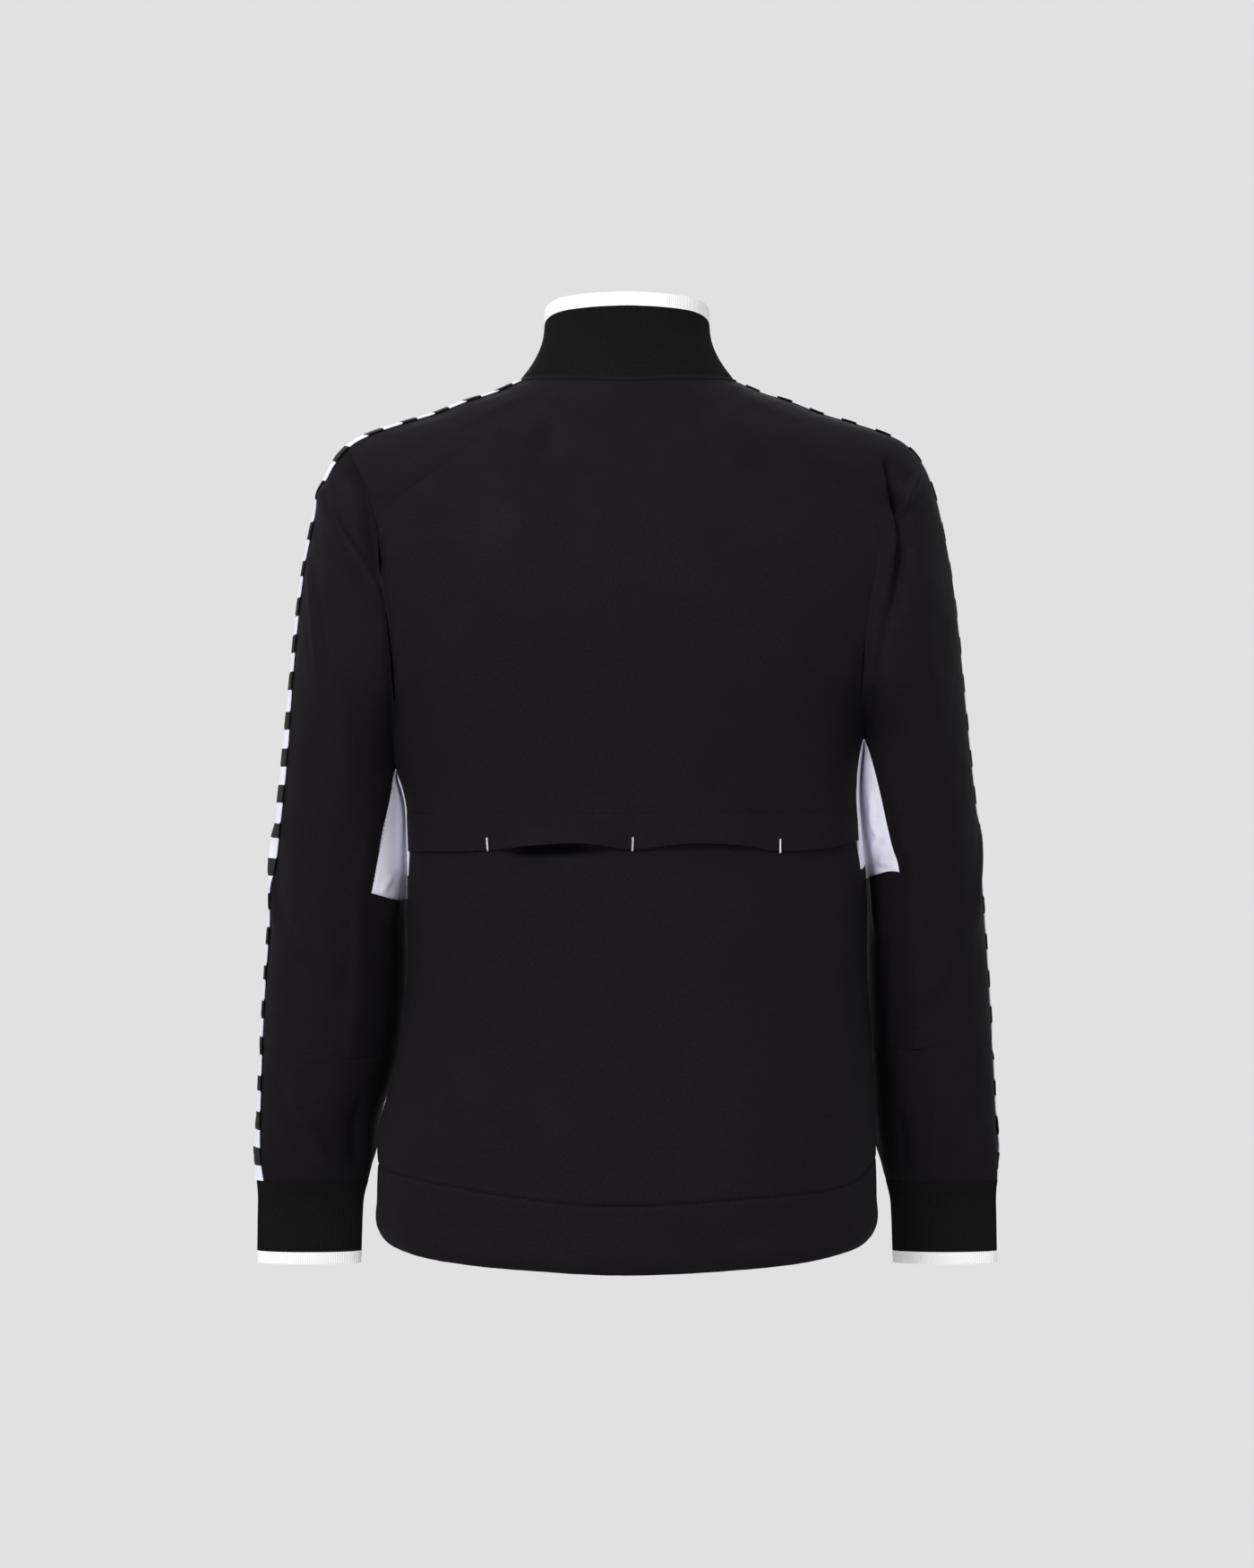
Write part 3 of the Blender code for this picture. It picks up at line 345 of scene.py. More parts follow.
def body_point(turn, down, out=0.0):
    """A point of the body's surface, or that far outside it."""
    row = BODY(down)
    s, c = np.sin(np.radians(turn)), np.cos(np.radians(turn))
    reach = np.where(c < 0, row.front, row.back)
    n = row.square
    radius = (np.abs(s / row.half) ** n + np.abs(c / reach) ** n) ** (-1 / n) + out
    return stack(radius * s + row.sway, radius * c, -down)


def neck_point(turn):
    """A point of the neck seam."""
    s, c = np.sin(np.radians(turn)), np.cos(np.radians(turn))
    depth = np.where(c < 0, NECK_FRONT, NECK_BACK)
    return stack(NECK_HALF * s, depth * c, NECK(np.abs(turn)).seam)


def neck_at(x, front):
    """The point of the neck seam that is x from the middle."""
    turn = np.degrees(np.arcsin(np.clip(x / NECK_HALF, -1, 1)))
    return neck_point(np.sign(turn) * 180 - turn if front else turn)


def seam_point(t, side, front):
    """A point of a sleeve's seam with the back or the front, in that side's own coordinates."""
    row = RAGLAN(t)
    x, down = (row.front_x, row.front_down) if front else (row.back_x, row.back_down)
    return stack(x + side * BODY(down).sway, body_depth(x, down, front), -down)


def raglan_point(t, turn, side):
    """A point of a sleeve above the armpit. A turn below 0 is on its front."""
    row = RAGLAN(t)
    front = np.asarray(turn) < 0
    end = np.where(front[..., None], seam_point(t, side, True), seam_point(t, side, False))
    whole = np.radians(np.where(front, row.front_turn, row.back_turn))
    start = stack(row.out_x, row.out_y, -row.out_down)
    angle = np.radians(np.abs(turn))
    in_and_down = ((1 - np.cos(angle)) / (1 - np.cos(whole)))[..., None]
    along_y = (np.sin(angle) / np.sin(whole))[..., None]
    share = np.concatenate([in_and_down, along_y, in_and_down], axis=-1)
    point = start + (end - start) * share
    return point * np.array([side, 1, 1])


def sleeve_point(down, turn, side):
    """A point of a sleeve below the armpit, kept clear of the body. The turn may pass 180."""
    down, turn = np.broadcast_arrays(np.asarray(down, float), np.asarray(turn, float))
    row = SLEEVE(down)
    inner = row.inner + side * BODY(down).sway
    half, middle = (row.outer - inner) / 2, (row.outer + inner) / 2
    angle = np.radians(turn)
    depth = np.where(np.sin(angle) < 0, row.front, row.back)
    x, y = middle + half * np.cos(angle), row.mid_y + depth * np.sin(angle)
    # It starts on the raglan part's last row, and eases off it.
    back_side = np.where(turn > 180, turn - 360, turn)
    limit = np.where(back_side < 0, -RAGLAN(1).front_turn, RAGLAN(1).back_turn)
    nearer = np.where(np.abs(back_side) < np.abs(limit), back_side, limit)
    top = SLEEVE(ARMPIT)
    top_inner = top.inner + side * BODY(ARMPIT).sway
    top_half, top_middle = (top.outer - top_inner) / 2, (top.outer + top_inner) / 2
    top_depth = np.where(nearer < 0, top.front, top.back)
    start = raglan_point(np.ones_like(nearer), nearer, side) * np.array([side, 1, 1])
    near = np.radians(nearer)
    ease = 1 - smooth((down - ARMPIT) / 0.045)
    x = x + ease * (start[..., 0] - top_middle - top_half * np.cos(near))
    y = y + ease * (start[..., 1] - top.mid_y - top_depth * np.sin(near))
    clear = 0.4 * MM + 1.4 * MM * smooth((down - ARMPIT) / 0.016)
    clear = clear + 4.2 * MM * smooth((down - 0.345) / 0.030)
    wall = body_side(y, down, side) + clear
    soft = 2 * MM
    pushed = np.where(
        x - wall > 8 * soft, x, wall + soft * np.log1p(np.exp(np.minimum((x - wall) / soft, 8)))
    )
    x = np.where(np.cos(angle) < 0, pushed, x)
    return stack(side * x, y, -down)


def forearm_seam(turn, side):
    low, slant = FOREARM_SEAM[side]
    return low - slant * np.cos(np.radians(turn))


def hem_seam(turn):
    return HEM(turn).seam


def hem_end(turn):
    return HEM(turn).end


def settle(points):
    """The points with the cloth round each underarm settled."""
    settled = points.copy()
    for side, places in SETTLED.items():
        for out, down, shift, wide, tall in places:
            across = (side * points[..., 0] - out) / wide
            along = (-points[..., 2] - down) / tall
            settled[..., 2] -= shift * np.exp(-(across**2) - along**2)
    return settled


def normals(points, inside):
    """Unit normals of a grid of points, pointing away from the point inside."""
    n = np.cross(np.gradient(points, axis=1), np.gradient(points, axis=0))
    n /= np.maximum(np.linalg.norm(n, axis=-1, keepdims=True), 1e-12)
    return n if (n * (points - inside)).sum() > 0 else -n


def folded(points, t, turn, side, inside):
    """The points of a sleeve's back with the folds at its head pressed in."""
    push = np.zeros(points.shape[:2])
    for (t0, turn0), (t1, turn1), width, depth in HEAD_FOLDS[side]:
        start = raglan_point(np.array(t0), np.array(float(turn0)), side)
        line = raglan_point(np.array(t1), np.array(float(turn1)), side) - start
        s = np.clip(((points - start) @ line) / (line @ line), 0, 1)
        off = np.linalg.norm(points - start - s[..., None] * line, axis=-1)
        push -= depth * np.exp(-((off / width) ** 2)) * np.sin(math.pi * np.clip(s, 0.08, 0.92))
    edge = 1 - smooth((np.abs(turn) / np.maximum(RAGLAN(t).back_turn, 1) - 0.8) / 0.2)
    return points + normals(points, inside) * (push * edge * smooth(turn / 25))[..., None]


# The camera: level with the middle of the garment, behind it.
CAMERA_AWAY = 3.2
CAMERA_DOWN = 0.308
PICTURE_WIDE = 1400  # picture units across the view
FOCAL = 4571.0  # in picture units
MIDDLE_X, MIDDLE_Y = 700, 875  # the middle of the view, in picture units
UNIT = 0.7 * MM


def picture(points, view):
    """Where points lie in a picture from one side, in picture units."""
    x, y, z = points[..., 0], points[..., 1], points[..., 2]
    if view == "back":
        scale = FOCAL / (CAMERA_AWAY - y)
        return MIDDLE_X - x * scale, MIDDLE_Y - (z + CAMERA_DOWN) * scale
    right = {"front": x, "left": y, "right": -y}[view]
    return MIDDLE_X + right / UNIT, MIDDLE_Y - (z + CAMERA_DOWN) / UNIT


FACING = {"back": (0, 1, 0), "front": (0, -1, 0), "left": (1, 0, 0), "right": (-1, 0, 0)}
CLOSE_TO_EDGE = np.array([0.8, 1.8, 3.2]) * MM  # rows added there, so that an edge can roll


def refine(points, spacing):
    """A finer grid through the same points, and how many cells each old cell became."""
    counts = []
    for axis in (0, 1):
        along = np.linalg.norm(np.diff(points, axis=axis), axis=2)
        along = along.mean(axis=1 - axis)
        at = np.concatenate([[0], np.cumsum(np.maximum(along, 1e-5))])
        count = np.maximum(1, np.ceil(along / spacing).astype(int))
        new = [0.0]
        for k, n in enumerate(count):
            new += list(np.linspace(at[k], at[k + 1], n + 1)[1:])
        new = np.array(new)
        first = CLOSE_TO_EDGE[CLOSE_TO_EDGE < (new[1] - new[0]) * 0.92]
        last = CLOSE_TO_EDGE[CLOSE_TO_EDGE < (new[-1] - new[-2]) * 0.92]
        new = np.sort(np.concatenate([new, first, new[-1] - last]))
        count[0] += len(first)
        count[-1] += len(last)
        points = spline(at, points, new, axis)
        counts.append(count)
    return points, counts


def spline(at, values, new, axis):
    """Values read at new places along a smooth curve through the old ones."""
    values = np.moveaxis(values, axis, 0)
    step = np.diff(at).reshape((-1,) + (1,) * (values.ndim - 1))
    slope = np.diff(values, axis=0) / step
    slopes = np.empty_like(values)
    if len(at) > 2:
        slopes[1:-1] = (slope[:-1] * step[1:] + slope[1:] * step[:-1]) / (step[:-1] + step[1:])
        slopes[0] = 1.5 * slope[0] - 0.5 * slopes[1]
        slopes[-1] = 1.5 * slope[-1] - 0.5 * slopes[-2]
    else:
        slopes[0] = slopes[-1] = slope[0]
    k = np.clip(np.searchsorted(at, new, "right") - 1, 0, len(at) - 2)
    h = (at[k + 1] - at[k]).reshape((-1,) + (1,) * (values.ndim - 1))
    t = (new - at[k]).reshape(h.shape) / h
    made = curve(t, h, values[k], values[k + 1], slopes[k], slopes[k + 1])
    return np.moveaxis(made, 0, axis)


def hashed(cells, seed):
    """A steady random value from 0 to 1 for each whole-numbered cell."""
    x = cells.astype(np.int64)
    h = x[..., 0] * 73856093 ^ x[..., 1] * 19349663 ^ x[..., 2] * 83492791 ^ (seed * 2654435761)
    h = (h ^ (h >> 13)) * 1274126177 & 0x7FFFFFFF
    h = (h ^ (h >> 16)) & 0xFFFF
    return h / 65535.0


def noise(points, size, seed=1):
    """Smooth value noise from -1 to 1, with features of about this size."""
    p = points / np.asarray(size, float) + 100.0
    cell = np.floor(p)
    f = p - cell
    f = f * f * f * (f * (6 * f - 15) + 10)
    total = 0
    for dx in (0, 1):
        for dy in (0, 1):
            for dz in (0, 1):
                weight = (
                    (f[..., 0] if dx else 1 - f[..., 0])
                    * (f[..., 1] if dy else 1 - f[..., 1])
                    * (f[..., 2] if dz else 1 - f[..., 2])
                )
                total = total + weight * hashed(cell + np.array([dx, dy, dz]), seed)
    return total * 2 - 1


def fold_push(points, normal, view, path, before, after, depth, start=0.25, end=0.25):
    """How far a fold moves each point outwards: a ridge is above 0, a trough below."""
    a, b = picture(points, view)
    best = np.full(a.shape, 1e9)
    side_of = np.zeros(a.shape)
    along = np.zeros(a.shape)
    path = np.array(path, float)
    lengths = np.linalg.norm(np.diff(path, axis=0), axis=1)
    total = lengths.sum()
    done = 0.0
    for (x0, y0), (x1, y1), length in zip(path[:-1], path[1:], lengths):
        ux, uy = (x1 - x0) / length, (y1 - y0) / length
        s = np.clip((a - x0) * ux + (b - y0) * uy, 0, length)
        dx, dy = a - x0 - s * ux, b - y0 - s * uy
        d = np.hypot(dx, dy)
        nearer = d < best
        best = np.where(nearer, d, best)
        side_of = np.where(nearer, np.sign(ux * dy - uy * dx), side_of)
        along = np.where(nearer, (done + s) / total, along)
        done += length
    width = np.where(side_of < 0, before, after)
    fade = smooth(along / max(start, 1e-3)) * smooth((1 - along) / max(end, 1e-3))
    facing = smooth((normal @ np.array(FACING[view]) - 0.02) / 0.35)
    return depth * np.exp(-((best / width) ** 2)) * fade * facing


# Creases by the pieces that they cross and the view they are placed in. Each has its line in
# picture units, how wide it is to the right of a line that runs down and to its left, how far it
# stands out in metres (a trough is below 0), and the shares of the line over which its ends fade.
SLEEVE_LEFT = ("sleeve_back_left", "sleeve_tape_left", "back_upper", "forearm_back_left")
SLEEVE_RIGHT = ("sleeve_back_right", "sleeve_tape_right", "back_upper", "forearm_back_right")
YOKE = ("back_upper", "sleeve_back")
FRONTS = ("front_", "hem_front", "sleeve_front", "forearm_front", "sleeve_tape")
FOLDS = [
    # the left sleeve's head: an overhanging fold, the pocket below it and the ridge beside it
    (SLEEVE_LEFT, "back", [
        ([(386, 503), (391, 515), (401, 541), (409, 564), (415, 583), (420, 606), (425, 636),
          (429, 655)], 2.8, 9, -0.0085, 0.12, 0.45),
        ([(400, 566), (408, 590), (416, 615), (424, 640), (426, 655)], 5, 8, -0.0050, 0.35, 0.4),
        ([(358, 531), (363, 545), (370, 563), (380, 588), (393, 611), (408, 634), (420, 655),
          (430, 690)], 4, 14, 0.0065, 0.15, 0.25),
        ([(428, 650), (434, 700), (438, 760), (440, 850)], 3, 5, -0.0026, 0.2, 0.3),
        ([(343, 610), (346, 640), (350, 700), (356, 765)], 4, 4, 0.0026),
        ([(350, 640), (357, 700), (364, 780)], 5, 5, -0.0019),
        ([(372, 700), (385, 800), (392, 900)], 12, 10, 0.0022),
    ]),
    # the right sleeve's head
    (SLEEVE_RIGHT, "back", [
        ([(984, 505), (991, 522), (994, 537), (997, 560), (1003, 578), (1006, 600),
          (1004, 620), (998, 649), (993, 680)], 8, 2.8, -0.0080, 0.12, 0.45),
        ([(998, 650), (992, 684), (985, 717), (975, 771), (965, 820)], 5, 3, -0.0026, 0.2, 0.3),
        ([(993, 530), (998, 552), (1002, 574)], 5, 3, -0.0040, 0.4, 0.2),
        ([(1029, 520), (1018, 545), (1009, 564), (1002, 581)], 5, 4, 0.0055, 0.3, 0.2),
        ([(1016, 596), (1008, 625), (1002, 665), (995, 700)], 8, 6, -0.0070, 0.3, 0.3),
        ([(1040, 620), (1036, 700), (1040, 800)], 12, 14, 0.0026),
    ]),
    # soft pulls from the collar
    (YOKE, "back", [
        ([(602, 446), (590, 492), (572, 540)], 16, 20, 0.0022),
        ([(626, 440), (616, 480), (604, 520)], 9, 9, -0.0014),
        ([(798, 448), (812, 486), (832, 530)], 20, 16, 0.0022),
        ([(776, 440), (786, 480), (800, 520)], 9, 9, -0.0014),
        ([(600, 436), (560, 456), (520, 470)], 5, 6, 0.0012),
        ([(588, 447), (545, 468), (505, 485)], 4, 4, -0.0010),
        ([(822, 440), (862, 458), (905, 474)], 6, 5, 0.0012),
    ]),
    # the upper back
    (("back_upper",), "back", [
        ([(520, 600), (500, 720), (505, 880)], 34, 30, 0.0018),
        ([(620, 640), (612, 760), (622, 900)], 26, 26, -0.0012),
        ([(860, 620), (880, 740), (868, 890)], 30, 34, 0.0016),
        ([(450, 700), (462, 780), (470, 850)], 9, 7, -0.0018),
        ([(972, 700), (958, 780), (944, 850)], 7, 9, -0.0018),
        ([(540, 850), (547, 905), (546, 940)], 8, 8, -0.0012),
        ([(704, 860), (706, 905), (706, 945)], 7, 7, -0.0012),
        ([(868, 860), (870, 905), (871, 945)], 8, 8, -0.0012),
        ([(566, 948), (600, 944), (640, 942), (686, 946)], 12, 12, 0.0034, 0.3, 0.3),
    ]),
    (("back_lower",), "back", [
        ([(566, 949), (584, 948), (610, 947), (640, 945), (684, 943)], 5, 6, -0.0100, 0.15, 0.5),
    ]),
    # the stitches lie in a shallow groove
    (("back_upper",), "back", [
        ([(455, 907), (700, 907), (958, 905)], 1.6, 1.6, -0.0005, 0.01, 0.01),
        ([(730, 943), (780, 941), (850, 947)], 12, 12, 0.0014, 0.3, 0.3),
    ]),
    # the lower back
    (("back_lower", "hem_back"), "back", [
        ([(520, 990), (512, 1110), (500, 1290), (496, 1400)], 22, 26, 0.0016),
        ([(590, 1040), (600, 1180), (596, 1380)], 24, 22, -0.0014),
        ([(800, 1010), (822, 1180), (846, 1380)], 28, 26, 0.0015),
    ]),
    (("back_lower",), "back", [
        ([(905, 1000), (912, 1120), (930, 1270)], 16, 20, -0.0014),
        ([(470, 1040), (466, 1140), (452, 1250)], 12, 9, -0.0020),
        ([(952, 1050), (958, 1150), (966, 1260)], 8, 12, -0.0020),
    ]),
    (("hem_back",), "back", [
        ([(455, 1330), (500, 1365), (560, 1385)], 9, 9, -0.0009),
        ([(905, 1345), (860, 1372), (800, 1390)], 9, 9, -0.0008),
    ]),
    # the lower sleeves
    (SLEEVE_LEFT, "back", [
        ([(318, 990), (345, 1050), (388, 1100)], 12, 10, 0.0032),
        ([(330, 1060), (360, 1100), (400, 1130)], 8, 8, -0.0022),
        ([(303, 1195), (320, 1240), (350, 1300)], 6, 7, -0.0026),
        ([(316, 1195), (338, 1245), (372, 1306)], 7, 7, 0.0026),
        ([(404, 1220), (396, 1260), (398, 1306)], 7, 7, -0.0029),
    ]),
    (SLEEVE_RIGHT, "back", [
        ([(1082, 1000), (1062, 1070), (1020, 1130)], 12, 12, 0.0029),
        ([(1092, 1200), (1082, 1250), (1062, 1312)], 7, 6, -0.0022),
        ([(1050, 1200), (1046, 1260), (1036, 1316)], 8, 8, 0.0022),
        ([(1000, 1230), (1008, 1270), (1010, 1314)], 6, 6, -0.0026),
    ]),
    # the gussets
    (("gusset_left",), "back", [
        ([(440, 975), (432, 990), (424, 999)], 3, 4, 0.0010),
        ([(450, 968), (440, 984), (430, 996)], 3, 3, -0.0010),
    ]),
    (("gusset_right",), "back", [
        ([(960, 872), (965, 893), (966, 912), (972, 930), (984, 946)], 3, 3, -0.0022, 0.2, 0.3),
        ([(970, 880), (974, 900), (972, 922), (978, 940)], 3, 3, 0.0018, 0.3, 0.3),
        ([(984, 925), (976, 944), (970, 972)], 3, 3, 0.0018, 0.3, 0.3),
        ([(990, 930), (980, 950), (976, 978)], 2.5, 2.5, -0.0016, 0.3, 0.3),
        ([(972, 965), (986, 970), (998, 968)], 3, 3, -0.0012, 0.3, 0.3),
    ]),
    # the fronts, much as the back
    (FRONTS, "front", [
        ([(985, 512), (994, 545), (1002, 590), (1000, 650), (990, 730)], 14, 3, -0.0065, 0.15, 0.35),
        ([(414, 512), (404, 548), (396, 592), (399, 650), (410, 730)], 3, 15, -0.0065, 0.15, 0.35),
        ([(1022, 560), (1010, 600), (1004, 640)], 5, 6, 0.0030, 0.3, 0.3),
        ([(380, 560), (390, 602), (397, 645)], 6, 5, 0.0030, 0.3, 0.3),
        ([(712, 560), (738, 700), (742, 860)], 16, 10, 0.0016),
        ([(690, 620), (660, 780), (664, 960)], 12, 18, 0.0014),
        ([(812, 520), (850, 660), (860, 820)], 24, 24, 0.0018),
        ([(590, 520), (552, 660), (545, 820)], 24, 24, 0.0018),
        ([(870, 900), (850, 1080), (842, 1290)], 26, 22, 0.0018),
        ([(530, 900), (556, 1080), (560, 1290)], 22, 26, 0.0018),
        ([(790, 880), (782, 1060), (776, 1260)], 18, 18, -0.0014),
        ([(622, 900), (630, 1060), (628, 1260)], 18, 18, -0.0014),
        ([(930, 860), (905, 950), (895, 1050)], 10, 12, -0.0022),
        ([(468, 860), (492, 950), (505, 1050)], 12, 10, -0.0022),
        ([(1080, 980), (1060, 1050), (1020, 1110)], 12, 12, 0.0020),
        ([(320, 985), (342, 1050), (382, 1112)], 12, 12, 0.0020),
        ([(1085, 1195), (1075, 1250), (1050, 1306)], 7, 7, -0.0015),
        ([(318, 1195), (330, 1250), (352, 1306)], 7, 7, -0.0015),
    ]),
    # the outer sides of the sleeves
    (("sleeve_", "forearm_"), "left", [
        ([(640, 900), (690, 985), (700, 1060)], 12, 12, 0.0029),
        ([(560, 1100), (600, 1160), (650, 1190)], 9, 9, -0.0026),
        ([(600, 1215), (612, 1260), (616, 1308)], 8, 8, 0.0022),
    ]),
    (("sleeve_", "forearm_"), "right", [
        ([(740, 900), (698, 980), (690, 1050)], 12, 12, 0.0029),
        ([(840, 1095), (800, 1150), (760, 1185)], 9, 9, -0.0026),
        ([(800, 1215), (790, 1260), (786, 1308)], 8, 8, 0.0022),
    ]),
]


NECK_RUN = 0.042  # how far from the neck an edge reaches further
ZIP_REACH = 1.5 * MM
NEAR_ZIP = 20 * MM
SEAM_ROLL = 1.3 * MM  # how wide the groove is beside a seam
PUCKER_RUN = 7 * MM  # how far a seam's puckers run into the cloth
LOOKS = {}


def reach_out(plain, edge, beside, far):
    """Moves an edge of a sheet outwards, away from the row beside it."""
    out = plain[edge] - plain[beside]
    plain[edge] += out / np.maximum(np.linalg.norm(out, axis=-1, keepdims=True), 1e-6) * far


def side_columns(plain, keep, letter):
    """The columns of a sheet's left or right edge in each row, and those beside them."""
    rows = np.arange(len(plain))
    if letter == "l":
        return np.zeros_like(rows), np.ones_like(rows)
    if keep is None:
        last = np.full_like(rows, plain.shape[1] - 1)
    else:
        kept = keep[np.minimum(rows, len(keep) - 1)]
        last = kept.shape[1] - np.argmax(kept[:, ::-1], axis=1)
    return last, last - 1


def close_gaps(plain, keep, seams, reach, neck_reach):
    """Moves the sewn edges a little over their gap, so that no hollow shows between pieces."""
    for letter, edge, beside in (("t", 0, 1), ("b", -1, -2)):
        if letter in seams:
            reach_out(plain, edge, beside, reach)
    rows = np.arange(len(plain))
    for letter in "lr":
        if letter not in seams:
            continue
        edge, beside = side_columns(plain, keep, letter)
        steps = np.linalg.norm(np.diff(plain[rows, edge], axis=0), axis=1)
        run = np.concatenate([[0], np.cumsum(steps)])[:, None]
        at_zip = np.abs(plain[rows, edge][:, 0]).mean() < NEAR_ZIP
        far = ZIP_REACH if at_zip else reach + neck_reach * np.exp(-((run / NECK_RUN) ** 2))
        reach_out(plain, (rows, edge), (rows, beside), far)


def surface(shaped, flat, keep, second, v, inside):
    """A mesh of the grid with its grain as UVs, without the faces that are cut away."""
    mesh = bmesh.new()
    uv_layer = mesh.loops.layers.uv.new("grain")
    rows, columns = shaped.shape[:2]
    bmesh.ops.create_grid(mesh, x_segments=columns - 1, y_segments=rows - 1, size=1)
    mesh.verts.ensure_lookup_table()
    for vertex, point in zip(mesh.verts, shaped.reshape(-1, 3)):
        vertex.co = point
    for face in mesh.faces:
        for loop in face.loops:
            loop[uv_layer].uv = flat[loop.vert.index]
    if keep is not None:
        cut = [face for face, kept in zip(mesh.faces, keep.reshape(-1)) if not kept]
        bmesh.ops.delete(mesh, geom=cut, context="FACES")
    if second is not None:
        chosen = second(v)
        kept = np.ones(chosen.shape, bool) if keep is None else keep
        for face, on in zip(mesh.faces, chosen[kept]):
            face.material_index = int(on)
    bmesh.ops.remove_doubles(mesh, verts=mesh.verts, dist=1e-6)
    mesh.normal_update()
    middle = Vector(inside)
    facing = sum(f.normal.dot(f.calc_center_median() - middle) * f.calc_area() for f in mesh.faces)
    if facing < 0:
        bmesh.ops.reverse_faces(mesh, faces=mesh.faces)
    return mesh


def look(
    node, points, thickness, finish, inside, keep=None, outward=0.0, spacing=4 * MM, grain="cloth",
    seams="tblr", held="hung", pucker=0.22 * MM, edge_dip=0.5 * MM, unevenness=1.0, second=None,
    rows_at=None, relief=None, reach=0.35 * MM, neck_reach=0.0,
):
    """The dressed piece that stands for one node.

    seams names its sewn edges by their first letters: top, bottom, left and right. second picks
    the faces with the second material, and rows_at and relief give rows and raised parts.
    """
    plain, (row_counts, column_counts) = refine(points, spacing)
    if rows_at is not None:
        down = np.linalg.norm(np.diff(plain, axis=0), axis=2).mean(axis=1)
        at = np.concatenate([[0], np.cumsum(down)])
        plain = spline(at, plain, rows_at(at[-1]), 0)
    if outward:
        plain = plain + normals(plain, inside) * outward
    plain = settle(plain)
    if keep is not None:
        keep = np.repeat(np.repeat(keep, row_counts, axis=0), column_counts, axis=1)
    close_gaps(plain, keep, seams, reach, neck_reach)
    normal = normals(plain, inside)
    across = np.linalg.norm(np.diff(plain, axis=1), axis=2)
    down = np.linalg.norm(np.diff(plain, axis=0), axis=2)
    u = np.hstack([np.zeros((len(plain), 1)), np.cumsum(across, axis=1)])
    v = np.vstack([np.zeros((1, plain.shape[1])), np.cumsum(down, axis=0)])
    to_edge = np.full(u.shape, 1.0)
    for letter, distance in (("l", u), ("r", u[:, -1:] - u), ("t", v), ("b", v[-1:] - v)):
        if letter in seams:
            to_edge = np.minimum(to_edge, distance)
    push = -edge_dip * np.exp(-((to_edge / SEAM_ROLL) ** 2))
    push += pucker * noise(plain, 0.007, 3) * np.exp(-to_edge / PUCKER_RUN)
    soft = noise(plain, (0.045, 0.045, 0.07), 5) * smooth(to_edge / (12 * MM))
    push += unevenness * 0.35 * MM * soft
    for pieces, view, folds in FOLDS:
        if node.startswith(pieces):
            for fold in folds:
                push += fold_push(plain, normal, view, *fold)
    if relief is not None:
        push += relief(v)
    shaped = plain + normal * push[..., None]
    flat_u = u - u[:, [u.shape[1] // 2]]
    if grain == "grid":
        flat_u = np.broadcast_to(u.mean(axis=0), u.shape)
    flat_v = np.broadcast_to(v.mean(axis=1)[:, None], v.shape)
    flat = np.stack([flat_u, flat_v], axis=-1).reshape(-1, 2).tolist()
    mesh = surface(shaped, flat, keep, second, v, inside)
    area = sum(f.calc_area() for f in mesh.faces)
    piece = shell(f"look_{node}", mesh, thickness, finish)
    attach(piece, "garment")
    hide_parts(node)
    LOOKS[node] = shaped
    return piece


def place(name, data, location=(0, 0, 0)):
    """A new object of the scene."""
    made = bpy.data.objects.new(name, data)
    made.location = location
    bpy.context.scene.collection.objects.link(made)
    return made


def shell(name, mesh, thickness, finish):
    """An object from a surface, thickened inwards."""
    data = bpy.data.meshes.new(name)
    mesh.to_mesh(data)
    mesh.free()
    piece = place(name, data)
    for material in MATERIALS[finish]:
        data.materials.append(material)
    if thickness:
        wall = piece.modifiers.new("wall", "SOLIDIFY")
        wall.thickness = thickness
        wall.offset = -1
        graph = bpy.context.evaluated_depsgraph_get()
        made = bpy.data.meshes.new_from_object(piece.evaluated_get(graph))
        piece.modifiers.clear()
        piece.data = made
        made.name = name
        bpy.data.meshes.remove(data)
        data = made
    data.shade_smooth()
    data.set_sharp_from_angle(angle=math.radians(60))
    return piece


def panel(name, points, thickness, finish, inside, keep=None, outward=0.0):
    kind = max((kind for kind in PANEL_HOW if name.startswith(kind)), key=len)
    look(name, points, thickness, finish, inside, keep, outward, **PANEL_HOW[kind])


# ---- sewing ----


def read_at(new, at, values):
    """Vectors read at new places along a line."""
    return np.stack([np.interp(new, at, values[:, k]) for k in range(3)], axis=-1)


